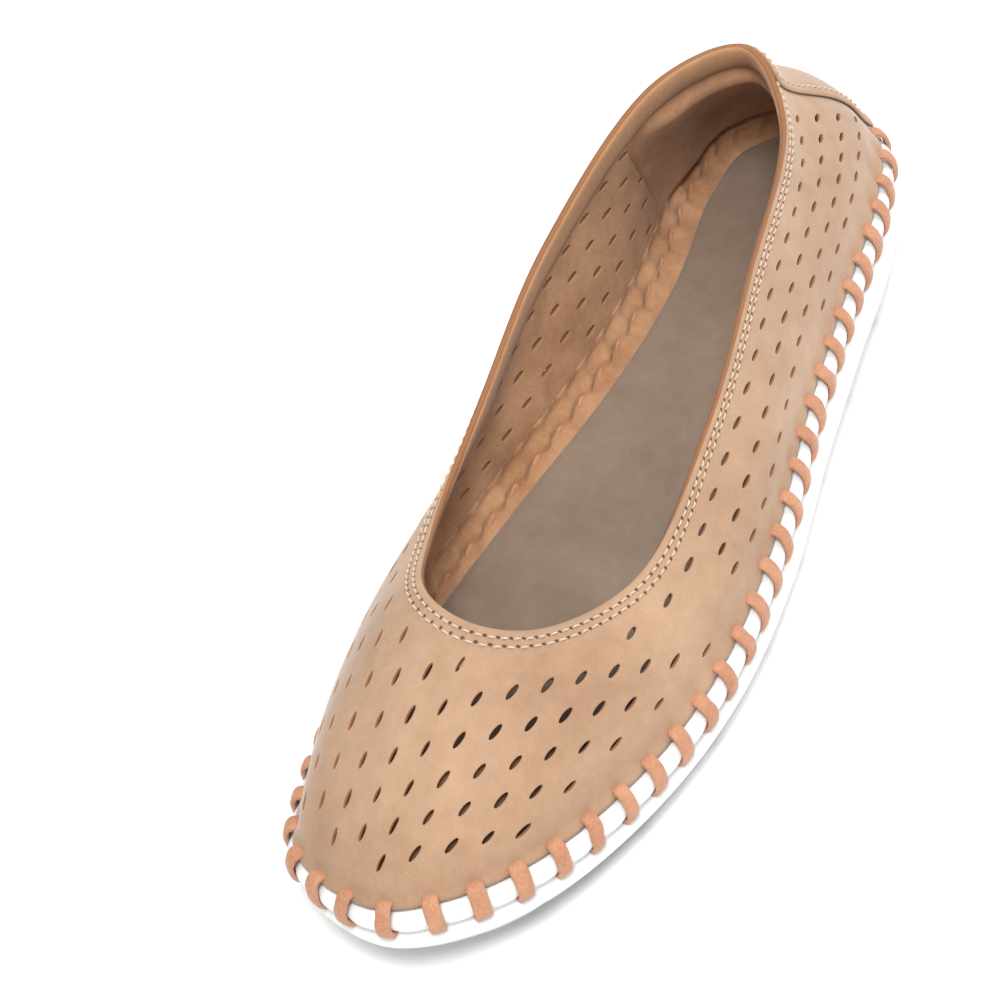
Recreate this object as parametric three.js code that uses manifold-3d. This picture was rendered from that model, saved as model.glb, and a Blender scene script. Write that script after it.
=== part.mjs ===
// A left slip-on flat: a perforated leather upper, whip-stitched by one lace to the rim of a
// white wedge sole. x runs from heel to toe, y to the outer side and z up, in millimetres.

import * as THREE from 'three';
import Module from 'manifold-3d';
import { LoftGeometry } from 'three/addons/geometries/LoftGeometry.js';
import { mergeVertices } from 'three/addons/utils/BufferGeometryUtils.js';

// ---- Driving dimensions -------------------------------------------------------------------

// The feather line, where the upper meets the sole, seen from above.
const FEATHER_LENGTH = 256.5;
const HEEL_WIDTH = 53.6;
const WAIST_WIDTH = 54;
const BALL_WIDTH = 79;
const TOE_WIDTH = 59.2;
const HEEL_TIP_Y = -0.5;
const TOE_TIP_Y = -2.1;

// The feather line's height above the ground, and the toe's lift off it.
const HEEL_STACK = 29;
const WAIST_STACK = 25;
const BALL_STACK = 17.6;
const TOE_STACK = 24.2;
const TOE_SPRING = 7;
const SPRING_START = 185;

// The top edge of the upper.
const BACK_LEAN = 30;
const BACK_HEIGHT = 70;
const VAMP_LENGTH = 55;
const THROAT_HEIGHT = 51;
const OPENING_WIDTH = 51;

// Walls and layers.
const LEATHER = 1.4;
const UPPER_INSET = 0.8;
const COUNTER_THICKNESS = 1.2;
const LINING_THICKNESS = 0.8;
const PUFF_THICKNESS = 0.9;
const TAPE_THICKNESS = 0.7;
const PATCH_THICKNESS = 1.2;
const OUTSOLE_THICKNESS = 4.5;
const BOARD_THICKNESS = 1.2;
const FOAM_THICKNESS = 3;
const COVER_THICKNESS = 1.1;
const PAD_THICKNESS = 1.6;
const FOOTBED_DROP = 2.2;
const GAP = 0.3;
const LAYER_GAP = 0.5;

// The stitched rim of the sole.
const RIM_MARGIN = 0.7;
const RIM_DROP = 0.4;
const BEAD_RADIUS = 2.35;
const BEAD_OUT = -0.3;
const BEAD_DROP = 3.1;
const GROOVE_OUT = 0.6;
const GROOVE_DROP = 6;
const SHOULDER_DROP = 8.7;
const SIDEWALL_OUT = 1.8;
const GROOVE_LIP = 0.4;
const SHOULDER_IN = 0.5;
const BEVEL_HEIGHT_HEEL = 11;
const BEVEL_HEIGHT_TOE = 7;
const BEVEL_IN = 5.3;

// Flex grooves across the tread.
const FLEX_PITCH = 27;
const FLEX_FIRST_X = 20;
const FLEX_COUNT = 9;
const FLEX_WIDTH = 2.4;
const FLEX_DEPTH = 3;

// Inset of the footbed's edge from the feather line at the heel, and its clearance from the
// lace at the ball.
const INSET_HEEL = 9;
const LACE_TO_FOOTBED = 1.15;

// The lace and the sewing thread.
const LACE_WIDTH = 3.3;
const LACE_THICKNESS = 1.2;
const LACE_CLEARANCE = 0.45;
const BEAD_MARGIN = 0.25;
const WALL_MARGIN = 0.35;
const GROOVE_MARGIN = 0.55;
const STITCH_COUNT = 62;
const THREAD_RADIUS = 0.35;
const THREAD_LIFT = 0.1;

// Stations round each loop, and levels up each section of the upper. Layers share both.
const STATIONS = 64;
const LEVELS = [0, 0.15, 0.38, 0.62, 0.8, 0.9, 1];

// ---- Loops --------------------------------------------------------------------------------

// Rows of the plan: share of the length, width there and the y of its middle.
const PLAN = [
  [0.05, 0.79 * HEEL_WIDTH, -0.6],
  [0.135, HEEL_WIDTH, 1],
  [0.27, WAIST_WIDTH, 4.4],
  [0.405, 1.1 * WAIST_WIDTH, 5.2],
  [0.55, 0.91 * BALL_WIDTH, 3.9],
  [0.68, BALL_WIDTH, 0.9],
  [0.8, 0.947 * BALL_WIDTH, -2.5],
  [0.905, TOE_WIDTH, -4.8],
  [0.965, 0.67 * TOE_WIDTH, -6.2],
];

const THROAT_X = FEATHER_LENGTH - VAMP_LENGTH;
const OPENING_LENGTH = THROAT_X - BACK_LEAN;

// Points of the top edge: share of its length from the back, share of its width, height.
const TOP_EDGE = [
  [0, 0, BACK_HEIGHT],
  [0.117, 0.333, 0.93 * BACK_HEIGHT],
  [0.396, 0.502, 0.843 * BACK_HEIGHT],
  [0.62, 0.555, 0.7 * BACK_HEIGHT],
  [0.837, 0.49, 0.8 * THROAT_HEIGHT],
  [0.965, 0.27, 0.9 * THROAT_HEIGHT],
  [1, 0.05, THROAT_HEIGHT],
  [0.965, -0.24, 1.01 * THROAT_HEIGHT],
  [0.837, -0.47, 0.88 * THROAT_HEIGHT],
  [0.62, -0.52, 0.745 * BACK_HEIGHT],
  [0.396, -0.498, 0.9 * BACK_HEIGHT],
  [0.117, -0.275, 1.057 * BACK_HEIGHT],
];

function featherCurve() {
  const outer = PLAN.map(([share, width, middle]) =>
    new THREE.Vector3(share * FEATHER_LENGTH, middle + width / 2, 0));
  const inner = PLAN.map(([share, width, middle]) =>
    new THREE.Vector3(share * FEATHER_LENGTH, middle - width / 2, 0));
  const heel = new THREE.Vector3(0, HEEL_TIP_Y, 0);
  const toe = new THREE.Vector3(FEATHER_LENGTH, TOE_TIP_Y, 0);
  const points = [heel, ...outer, toe, ...inner.reverse()];
  return new THREE.CatmullRomCurve3(points, true, 'centripetal');
}

function topEdgeCurve() {
  const points = TOP_EDGE.map(([share, across, height]) =>
    new THREE.Vector3(BACK_LEAN + share * OPENING_LENGTH, across * OPENING_WIDTH, height));
  return new THREE.CatmullRomCurve3(points, true, 'centripetal');
}

// A closed loop read by angle: 0 at the heel, PI at the toe, outer side first. The x of a
// point follows the angle's cosine, so the two sides pair up at equal x.
class Loop {
  constructor(curve, samples = 1440) {
    const points = curve.getPoints(samples);
    const back = points.reduce((best, p, i) => (p.x < points[best].x ? i : best), 0);
    points.pop();
    const turned = [...points.slice(back), ...points.slice(0, back), points[back]];
    const front = turned.reduce((best, p, i) => (p.x > turned[best].x ? i : best), 0);
    this.sides = [turned.slice(0, front + 1), turned.slice(front).reverse()];
    this.start = turned[0].x;
    this.length = turned[front].x - turned[0].x;
  }

  at(angle) {
    const x = this.start + this.length * (1 - Math.cos(angle)) / 2;
    const side = this.sides[Math.sin(angle) >= 0 ? 0 : 1];
    let low = 0;
    let high = side.length - 1;
    while (high - low > 1) {
      const middle = (low + high) >> 1;
      if (side[middle].x <= x) low = middle;
      else high = middle;
    }
    const span = side[high].x - side[low].x;
    const part = span > 0 ? (x - side[low].x) / span : 0;
    return side[low].clone().lerp(side[high], THREE.MathUtils.clamp(part, 0, 1));
  }
}

const feather = new Loop(featherCurve());
const topEdge = new Loop(topEdgeCurve());

// ---- Heights along the shoe ---------------------------------------------------------------

const stackCurve = new THREE.SplineCurve([
  new THREE.Vector2(0, HEEL_STACK),
  new THREE.Vector2(0.16, HEEL_STACK - 0.7),
  new THREE.Vector2(0.405, WAIST_STACK),
  new THREE.Vector2(0.7, BALL_STACK),
  new THREE.Vector2(0.865, 0.79 * BALL_STACK + 0.21 * TOE_STACK),
  new THREE.Vector2(1, TOE_STACK),
]).getPoints(400);

function stackAt(x) {
  const share = THREE.MathUtils.clamp(x / FEATHER_LENGTH, 0, 1);
  const next = Math.max(1, stackCurve.findIndex((p) => p.x >= share));
  const a = stackCurve[next - 1];
  const b = stackCurve[next];
  return a.y + (b.y - a.y) * (share - a.x) / (b.x - a.x);
}

function groundAt(x) {
  const past = Math.max(0, x - SPRING_START) / (FEATHER_LENGTH - SPRING_START);
  return TOE_SPRING * past * past;
}

function blend(from, to, low, high, x) {
  return THREE.MathUtils.lerp(from, to, THREE.MathUtils.smoothstep(x, low, high));
}

function insetAt(x) {
  return blend(INSET_HEEL, INSET_BALL, 0.2 * FEATHER_LENGTH, 0.62 * FEATHER_LENGTH, x);
}

function bevelHeightAt(x) {
  return blend(BEVEL_HEIGHT_HEEL, BEVEL_HEIGHT_TOE, 0.1 * FEATHER_LENGTH, 0.6 * FEATHER_LENGTH, x);
}

// Distance out from the feather line of the sole's side at a height above the ground.
function sideOut(x, height) {
  const rise = Math.min(1, height / bevelHeightAt(x));
  return SIDEWALL_OUT - BEVEL_IN * (1 - rise);
}

// ---- Frames round the feather line --------------------------------------------------------

const TURN = Math.PI * 2;
const NUDGE = 0.004;

function planNormal(loop, angle) {
  const ahead = loop.at(angle + NUDGE);
  const behind = loop.at(angle - NUDGE);
  return new THREE.Vector3(ahead.y - behind.y, behind.x - ahead.x, 0).normalize().negate();
}

// A point `out` from the feather line and `up` from its height.
function rimPoint(angle, out, up) {
  const p = feather.at(angle);
  p.addScaledVector(planNormal(feather, angle), out);
  p.z = stackAt(feather.at(angle).x) + up;
  return p;
}

// A point `out` from the feather line, `height` above the ground.
function groundPoint(angle, out, height) {
  const p = feather.at(angle);
  const x = p.x;
  p.addScaledVector(planNormal(feather, angle), out);
  p.z = groundAt(x) + height;
  return p;
}

// The outer face of the upper: t is 0 at the feather line and 1 at the top edge. Each section
// is a cubic curve; its two handles have a length and an outward lean at heel, side and toe.
const SECTIONS = {
  lowHandle: [20, 16, 9.6],
  lowLean: [-8, 1.5, -5],
  highHandle: [14, 14, 17],
  highLean: [0, 12, 71],
};

function sectionValue(values, share) {
  const toSide = THREE.MathUtils.smoothstep(share, 0.02, 0.27);
  const toToe = THREE.MathUtils.smoothstep(share, 0.6, 0.93);
  return values[0] * (1 - toSide) + values[1] * (toSide - toToe) + values[2] * toToe;
}

function upperPoint(angle, t) {
  const low = rimPoint(angle, -UPPER_INSET, 0);
  const high = topEdge.at(angle);
  const share = feather.at(angle).x / FEATHER_LENGTH;
  const lowLean = THREE.MathUtils.degToRad(sectionValue(SECTIONS.lowLean, share));
  const highLean = THREE.MathUtils.degToRad(sectionValue(SECTIONS.highLean, share));
  const lowHandle = low.clone();
  lowHandle.addScaledVector(planNormal(feather, angle),
    Math.sin(lowLean) * sectionValue(SECTIONS.lowHandle, share));
  lowHandle.z += Math.cos(lowLean) * sectionValue(SECTIONS.lowHandle, share);
  const highHandle = high.clone();
  highHandle.addScaledVector(planNormal(topEdge, angle),
    Math.sin(highLean) * sectionValue(SECTIONS.highHandle, share));
  highHandle.z -= Math.cos(highLean) * sectionValue(SECTIONS.highHandle, share);
  return new THREE.CubicBezierCurve3(low, lowHandle, highHandle, high).getPoint(t);
}

function upperNormal(angle, t) {
  if (t === 0) return planNormal(feather, angle);
  const low = Math.max(0, t - NUDGE);
  const high = Math.min(1, t + NUDGE);
  const along = upperPoint(angle + NUDGE, t).sub(upperPoint(angle - NUDGE, t));
  const up = upperPoint(angle, high).sub(upperPoint(angle, low));
  return up.cross(along).normalize();
}

// A point on a layer lying `out` from the outer face of the upper.
function layerPoint(angle, t, out) {
  return upperPoint(angle, t).addScaledVector(upperNormal(angle, t), out);
}

// ---- Solids -------------------------------------------------------------------------------

function signedVolume(position, index) {
  const a = new THREE.Vector3();
  const b = new THREE.Vector3();
  const c = new THREE.Vector3();
  let sum = 0;
  for (let i = 0; i < index.count; i += 3) {
    a.fromBufferAttribute(position, index.getX(i));
    b.fromBufferAttribute(position, index.getX(i + 1));
    c.fromBufferAttribute(position, index.getX(i + 2));
    sum += a.dot(b.cross(c));
  }
  return sum / 6;
}

// Joins shared points, drops triangles with no area and turns the faces outwards.
function weld(geometry) {
  const bare = new THREE.BufferGeometry();
  bare.setAttribute('position', geometry.getAttribute('position'));
  bare.setIndex(geometry.index);
  const welded = mergeVertices(bare, 1e-3);
  const kept = [];
  const source = welded.index;
  for (let i = 0; i < source.count; i += 3) {
    const [a, b, c] = [source.getX(i), source.getX(i + 1), source.getX(i + 2)];
    if (a !== b && b !== c && c !== a) kept.push([a, b, c]);
  }
  welded.setIndex(kept.flat());
  if (signedVolume(welded.getAttribute('position'), welded.index) < 0) {
    welded.setIndex(kept.map(([a, b, c]) => [a, c, b]).flat());
  }
  return welded;
}

// The direction a closed section faces, by the areas it covers on the three planes.
function sectionNormal(section) {
  const normal = new THREE.Vector3();
  section.forEach((p, i) => normal.add(p.clone().cross(section[(i + 1) % section.length])));
  return normal;
}

// A body through closed sections, with a flat cap at each end.
function capped(sections) {
  const forward = sections[1][0].clone().sub(sections[0][0]);
  const turned = sectionNormal(sections[0]).dot(forward) < 0;
  const ordered = turned ? sections.map((section) => [...section].reverse()) : sections;
  return weld(new LoftGeometry(ordered, { capStart: true, capEnd: true }));
}

function angleOf(station) {
  return station / STATIONS * TURN;
}

// A body that runs all the way round: sectionAt(angle) gives its closed section.
function ring(sectionAt) {
  const sections = [];
  for (let i = 0; i < STATIONS; i += 1) sections.push(sectionAt(angleOf(i)));
  sections.push(sections[0].map((p) => p.clone()));
  return weld(new LoftGeometry(sections));
}

// A body over part of the loop, `reach` stations either way from a middle station.
function arc(middle, reach, sectionAt) {
  const sections = [];
  for (let i = -reach; i <= reach; i += 1) sections.push(sectionAt(angleOf(middle + i)));
  return capped(sections);
}

// A body filled across: sideAt(angle) lists its side from the top edge down. Its top and
// bottom are closed by lines straight across to the point with the same x on the other side.
function plate(sideAt) {
  const sides = [];
  for (let i = 0; i < STATIONS; i += 1) sides.push(sideAt(angleOf(i)));
  const last = sides[0].length - 1;
  const sections = sides.map((side, i) => {
    const other = sides[(STATIONS - i) % STATIONS];
    const top = side[0].clone().lerp(other[0], 0.5);
    const bottom = side[last].clone().lerp(other[last], 0.5);
    return [top, ...side, bottom];
  });
  sections.push(sections[0].map((p) => p.clone()));
  return weld(new LoftGeometry(sections, { closed: false }));
}

// The closed section of a layer between two distances out and two values of t.
function layerSection(angle, tLow, tHigh, outNear, outFar) {
  const between = LEVELS.filter((t) => t > tLow && t < tHigh);
  const heights = [tLow, ...between, tHigh];
  const near = heights.map((t) => layerPoint(angle, t, outNear));
  const far = heights.map((t) => layerPoint(angle, t, outFar));
  return [...near, ...far.reverse()];
}

const wasm = await Module();
wasm.setup();

function toManifold(geometry) {
  const positions = geometry.getAttribute('position').array;
  return new wasm.Manifold(new wasm.Mesh({
    numProp: 3,
    vertProperties: new Float32Array(positions),
    triVerts: new Uint32Array(geometry.index.array),
  }));
}

function fromManifold(body) {
  const mesh = body.getMesh();
  const geometry = new THREE.BufferGeometry();
  geometry.setAttribute('position', new THREE.BufferAttribute(mesh.vertProperties, 3));
  geometry.setIndex(new THREE.BufferAttribute(mesh.triVerts, 1));
  return geometry;
}

function subtract(geometry, tools) {
  let body = toManifold(geometry);
  for (const tool of tools) body = body.subtract(toManifold(tool));
  return fromManifold(body);
}

function intersect(geometry, other) {
  return fromManifold(toManifold(geometry).intersect(toManifold(other)));
}

// ---- The lace -----------------------------------------------------------------------------

// Angles at even distances along the feather line, so that the stitches are evenly spaced.
function evenAngles(count) {
  const samples = 2880;
  const travelled = [0];
  for (let i = 1; i <= samples; i += 1) {
    const a = feather.at((i - 1) / samples * TURN);
    const b = feather.at(i / samples * TURN);
    travelled.push(travelled[i - 1] + a.distanceTo(b));
  }
  const total = travelled[samples];
  const angles = [];
  let at = 0;
  for (let i = 0; i < count; i += 1) {
    const wanted = i / count * total;
    while (travelled[at + 1] < wanted) at += 1;
    const part = (wanted - travelled[at]) / (travelled[at + 1] - travelled[at]);
    angles.push((at + part) / samples * TURN);
  }
  return angles;
}

// One turn of the lace round the rim: share of the pitch, distance out, height from the
// feather line. It leaves through the leather, crosses the bead, goes back through the rim
// under the bead, and climbs inside to the next hole.
const RIM_WIDTH = UPPER_INSET + LEATHER + RIM_MARGIN;
const LACE_OUT = BEAD_OUT + BEAD_RADIUS + GAP + LACE_THICKNESS / 2 + BEAD_MARGIN;
const LACE_IN = -RIM_WIDTH - GAP - LACE_THICKNESS / 2 - WALL_MARGIN;
const INSET_BALL = LACE_THICKNESS / 2 - LACE_IN + LACE_TO_FOOTBED;
const LACE_LOW = -GROOVE_DROP - LACE_THICKNESS / 2 - GROOVE_MARGIN;
const LACE_TURN = [
  [-0.2, LACE_IN, 0.4],
  [-0.1, (LACE_IN - UPPER_INSET - LEATHER / 2) / 2, 1.7],
  [0, -UPPER_INSET - LEATHER / 2, 2.6],
  [0.03, LACE_OUT - 1.4, 1.5],
  [0.05, LACE_OUT, -BEAD_DROP],
  [0.07, LACE_OUT - 1.2, LACE_LOW + 0.3],
  [0.15, (LACE_OUT - 1.2 + LACE_IN) / 2, LACE_LOW + 0.7],
  [0.24, LACE_IN, LACE_LOW + 1.2],
  [0.52, LACE_IN, LACE_LOW / 2 + 0.8],
];
const LACE_CENTRE = [-0.9, -2.6];

function lacePath() {
  const perTurn = 20;
  const angles = evenAngles(STITCH_COUNT * perTurn);
  const angleAt = (turns) => {
    const place = (turns * perTurn + angles.length) % angles.length;
    const low = Math.floor(place);
    const from = angles[low];
    const to = low + 1 < angles.length ? angles[low + 1] : TURN;
    return from + (to - from) * (place - low);
  };
  const path = [];
  for (let turn = 0; turn < STITCH_COUNT; turn += 1) {
    for (const [share, out, up] of LACE_TURN) {
      const angle = angleAt(turn + 0.5 + share);
      path.push({ angle, out, up, point: rimPoint(angle, out, up) });
    }
  }
  return path;
}

// The lace is a flat strap whose thickness points away from the middle of the rim.
function laceSections(width, thickness) {
  const path = lacePath();
  return path.map(({ angle, out, up, point }, i) => {
    const before = path[Math.max(0, i - 1)].point;
    const after = path[Math.min(path.length - 1, i + 1)].point;
    const forward = after.clone().sub(before).normalize();
    const away = planNormal(feather, angle).multiplyScalar(out - LACE_CENTRE[0]);
    away.z = up - LACE_CENTRE[1];
    const side = forward.clone().cross(away).normalize().multiplyScalar(width / 2);
    const face = side.clone().cross(forward).normalize().multiplyScalar(thickness / 2);
    return [[1, 1], [1, -1], [-1, -1], [-1, 1]].map(([a, b]) =>
      point.clone().addScaledVector(side, a).addScaledVector(face, b));
  });
}

function lace() {
  return capped(laceSections(LACE_WIDTH, LACE_THICKNESS));
}

// Room for the lace where it passes through a wall: one short piece for each turn, between
// two points of the turn.
function laceRoom(first, last) {
  const sections = laceSections(LACE_WIDTH + 2 * LACE_CLEARANCE, LACE_THICKNESS + 2 * LACE_CLEARANCE);
  const rooms = [];
  for (let turn = 0; turn < STITCH_COUNT; turn += 1) {
    const start = turn * LACE_TURN.length;
    rooms.push(capped(sections.slice(start + first, start + last + 1)));
  }
  return rooms;
}

const leatherHoles = laceRoom(0, 3);
const rimHoles = laceRoom(5, 8);

// ---- The sub-parts ------------------------------------------------------------------------

const BOARD_TOP = -FOOTBED_DROP - COVER_THICKNESS - FOAM_THICKNESS - 2 * GAP;
const CUP_FLOOR = BOARD_TOP - BOARD_THICKNESS - GAP;

function midsole() {
  const sideAt = (angle) => {
    const x = feather.at(angle).x;
    const beadPoint = (degrees) => {
      const turn = THREE.MathUtils.degToRad(degrees);
      return rimPoint(angle, BEAD_OUT + BEAD_RADIUS * Math.cos(turn),
        -BEAD_DROP + BEAD_RADIUS * Math.sin(turn));
    };
    const floorHeight = OUTSOLE_THICKNESS + GAP;
    const bevel = bevelHeightAt(x);
    return [
      rimPoint(angle, -RIM_WIDTH, CUP_FLOOR),
      rimPoint(angle, -RIM_WIDTH, -RIM_DROP),
      rimPoint(angle, BEAD_OUT, -RIM_DROP),
      beadPoint(45),
      beadPoint(0),
      beadPoint(-45),
      rimPoint(angle, GROOVE_OUT, -GROOVE_DROP),
      rimPoint(angle, GROOVE_OUT, -SHOULDER_DROP + GROOVE_LIP),
      rimPoint(angle, SIDEWALL_OUT - SHOULDER_IN, -SHOULDER_DROP),
      groundPoint(angle, SIDEWALL_OUT, bevel),
      groundPoint(angle, sideOut(x, floorHeight), floorHeight),
    ];
  };
  return subtract(plate(sideAt), rimHoles);
}

function outsole() {
  const body = plate((angle) => {
    const x = feather.at(angle).x;
    return [
      groundPoint(angle, sideOut(x, OUTSOLE_THICKNESS), OUTSOLE_THICKNESS),
      groundPoint(angle, sideOut(x, 0), 0),
    ];
  });
  const cuts = [];
  for (let i = 0; i < FLEX_COUNT; i += 1) {
    const x = FLEX_FIRST_X + i * FLEX_PITCH;
    const cut = new THREE.BoxGeometry(FLEX_WIDTH, 2 * BALL_WIDTH, 2 * FLEX_DEPTH);
    cut.translate(x, 0, groundAt(x));
    cuts.push(weld(cut));
  }
  return subtract(body, cuts);
}

// A flat layer inside the cup, between two depths below the feather line.
function cupLayer(top, bottom, extraInset) {
  return plate((angle) => {
    const out = -insetAt(feather.at(angle).x) - extraInset;
    return [rimPoint(angle, out, top), rimPoint(angle, out, bottom)];
  });
}

// The heel pad lies in a pocket in the foam's underside.
const PAD_START = 14;
const PAD_END = 68;
const PAD_EDGE = 5;

function padBlock(clearance) {
  const room = new THREE.BoxGeometry(PAD_END - PAD_START + 2 * clearance, BALL_WIDTH, HEEL_STACK * 2);
  room.translate((PAD_START + PAD_END) / 2, 0, HEEL_STACK);
  const bottom = clearance > 0 ? BOARD_TOP - GAP : BOARD_TOP + GAP;
  const top = BOARD_TOP + GAP + PAD_THICKNESS + clearance;
  return intersect(cupLayer(top, bottom, PAD_EDGE - clearance), weld(room));
}

function footbedFoam() {
  const foam = cupLayer(BOARD_TOP + GAP + FOAM_THICKNESS, BOARD_TOP + GAP, 0);
  return subtract(foam, [padBlock(GAP)]);
}

function upper() {
  const wall = ring((angle) => layerSection(angle, 0, 1, 0, -LEATHER));
  return subtract(wall, leatherHoles);
}

// Layers inside the upper, counted inwards from its inner face.
const INNER_FACE = -LEATHER - LAYER_GAP;
const COUNTER_FACE = INNER_FACE - COUNTER_THICKNESS - LAYER_GAP;

// Reaches of the part layers, in stations each side of their middle.
const COUNTER_REACH = 7;
const PATCH_REACH = 4;
const PUFF_REACH = 9;
const SEAM_REACH = 3.5;

// Ends of the layers and threads, as shares of the way from the feather line to the top edge.
const PUFF_ENDS = [0.2, 0.55];
const COUNTER_ENDS = [0.14, 0.73];
const LINING_ENDS = [0.13, 0.77];
const TAPE_ENDS = [0.8, 0.985];
const PATCH_ENDS = [0.015, 0.9];
const SEAM_ENDS = [0.16, 0.87];
const EDGE_THREAD = 0.965;
const INSET_THREAD = 0.925;

function innerLayer(middle, reach, [low, high], near, thickness) {
  return arc(middle, reach, (angle) => layerSection(angle, low, high, near, near - thickness));
}

function toePuff() {
  return innerLayer(STATIONS / 2, PUFF_REACH, PUFF_ENDS, INNER_FACE, PUFF_THICKNESS);
}

function heelCounter() {
  return innerLayer(0, COUNTER_REACH, COUNTER_ENDS, INNER_FACE, COUNTER_THICKNESS);
}

function heelLining() {
  return innerLayer(0, COUNTER_REACH, LINING_ENDS, COUNTER_FACE, LINING_THICKNESS);
}

function toplineTape() {
  return ring((angle) =>
    layerSection(angle, ...TAPE_ENDS, INNER_FACE, INNER_FACE - TAPE_THICKNESS));
}

function heelPatch() {
  const body = arc(0, PATCH_REACH, (angle) =>
    layerSection(angle, ...PATCH_ENDS, GAP, GAP + PATCH_THICKNESS));
  return subtract(body, leatherHoles);
}

// A thread's section: four points about a middle lying `out` from the upper.
function threadSection(angle, t, out, along) {
  const middle = layerPoint(angle, t, out);
  const normal = upperNormal(angle, t).multiplyScalar(THREAD_RADIUS);
  const across = along.clone().normalize().cross(normal);
  return [
    middle.clone().add(normal),
    middle.clone().add(across),
    middle.clone().sub(normal),
    middle.clone().sub(across),
  ];
}

function toplineThread(t) {
  return ring((angle) => {
    const along = upperPoint(angle + NUDGE, t).sub(upperPoint(angle - NUDGE, t));
    return threadSection(angle, t, GAP + THREAD_LIFT + THREAD_RADIUS, along);
  });
}

// The seam of the heel patch, down the patch's own face near its edge.
function patchThread(side) {
  const angle = angleOf(side * SEAM_REACH);
  const out = 2 * GAP + PATCH_THICKNESS + THREAD_RADIUS;
  const steps = 12;
  const sections = [];
  for (let i = 0; i <= steps; i += 1) {
    const t = THREE.MathUtils.lerp(...SEAM_ENDS, i / steps);
    const up = upperPoint(angle, t + NUDGE).sub(upperPoint(angle, t - NUDGE));
    sections.push(threadSection(angle, t, out, up));
  }
  return capped(sections);
}

// ---- Assembly -----------------------------------------------------------------------------

const LOOKS = {
  rubber: { color: 0xf1f1ee, roughness: 0.6 },
  foam: { color: 0xf6f6f3, roughness: 0.7 },
  nubuck: { color: 0xc99b74, roughness: 0.95 },
  flesh: { color: 0xa97850, roughness: 0.98 },
  microfibre: { color: 0xa7a39d, roughness: 0.95 },
  board: { color: 0xcabb9c, roughness: 0.9 },
  stiffener: { color: 0xd8cdb8, roughness: 0.8 },
  lace: { color: 0xc4916b, roughness: 0.85 },
  thread: { color: 0xdcc2a0, roughness: 0.8 },
};

const group = new THREE.Group();

function add(name, look, geometry) {
  const material = new THREE.MeshStandardMaterial({ metalness: 0, ...LOOKS[look] });
  const mesh = new THREE.Mesh(geometry, material);
  mesh.name = name;
  group.add(mesh);
}

add('outsole', 'rubber', outsole());
add('midsole', 'foam', midsole());
add('insole_board', 'board', cupLayer(BOARD_TOP, BOARD_TOP - BOARD_THICKNESS, 0));
add('heel_pad', 'foam', padBlock(0));
add('footbed_foam', 'foam', footbedFoam());
add('footbed_cover', 'microfibre', cupLayer(-FOOTBED_DROP, -FOOTBED_DROP - COVER_THICKNESS, 0));
add('upper', 'nubuck', upper());
add('toe_puff', 'stiffener', toePuff());
add('heel_counter', 'stiffener', heelCounter());
add('heel_lining', 'flesh', heelLining());
add('heel_patch', 'nubuck', heelPatch());
add('heel_patch_thread_outer', 'thread', patchThread(1));
add('heel_patch_thread_inner', 'thread', patchThread(-1));
add('topline_tape', 'nubuck', toplineTape());
add('topline_thread_edge', 'thread', toplineThread(EDGE_THREAD));
add('topline_thread_inset', 'thread', toplineThread(INSET_THREAD));
add('lace', 'lace', lace());

// The origin is the middle of the bounding box, on the ground.
const box = new THREE.Box3().setFromObject(group);
const middle = box.getCenter(new THREE.Vector3());
for (const mesh of group.children) mesh.position.set(-middle.x, -middle.y, -box.min.z);

export default group;
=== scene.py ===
"""Looks for a left slip-on flat: perforated nubuck, a whip-stitched rim and a white wedge sole.

Lengths are in metres. x runs from heel to toe, y to the shoe's outer side and z up.
"""
import math

import bmesh
import bpy
import numpy as np
from mathutils import Matrix, Vector
from mathutils.geometry import delaunay_2d_cdt


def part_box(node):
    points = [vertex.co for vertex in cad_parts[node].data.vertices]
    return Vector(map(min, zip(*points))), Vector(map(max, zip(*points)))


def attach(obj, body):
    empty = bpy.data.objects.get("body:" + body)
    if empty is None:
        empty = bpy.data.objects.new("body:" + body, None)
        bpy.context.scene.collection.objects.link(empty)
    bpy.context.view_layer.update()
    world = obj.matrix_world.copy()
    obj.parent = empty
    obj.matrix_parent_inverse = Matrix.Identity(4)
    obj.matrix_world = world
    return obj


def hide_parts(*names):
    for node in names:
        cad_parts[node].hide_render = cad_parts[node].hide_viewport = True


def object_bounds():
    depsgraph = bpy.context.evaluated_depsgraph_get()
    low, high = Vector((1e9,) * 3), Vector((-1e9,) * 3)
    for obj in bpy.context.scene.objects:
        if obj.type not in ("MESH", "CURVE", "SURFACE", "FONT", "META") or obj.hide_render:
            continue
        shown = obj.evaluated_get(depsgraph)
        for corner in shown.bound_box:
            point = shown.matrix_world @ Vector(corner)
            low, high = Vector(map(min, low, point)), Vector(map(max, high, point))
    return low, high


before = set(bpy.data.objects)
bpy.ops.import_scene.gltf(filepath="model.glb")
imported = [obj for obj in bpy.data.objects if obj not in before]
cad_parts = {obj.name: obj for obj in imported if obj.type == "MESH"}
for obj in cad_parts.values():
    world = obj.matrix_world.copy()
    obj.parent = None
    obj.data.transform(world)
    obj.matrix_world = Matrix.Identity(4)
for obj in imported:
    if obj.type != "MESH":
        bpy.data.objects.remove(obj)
cad_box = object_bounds()
MM = 0.001
TURN = 2 * math.pi
rng = np.random.default_rng(7)

# ---- Driving sizes --------------------------------------------------------------------------

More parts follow.
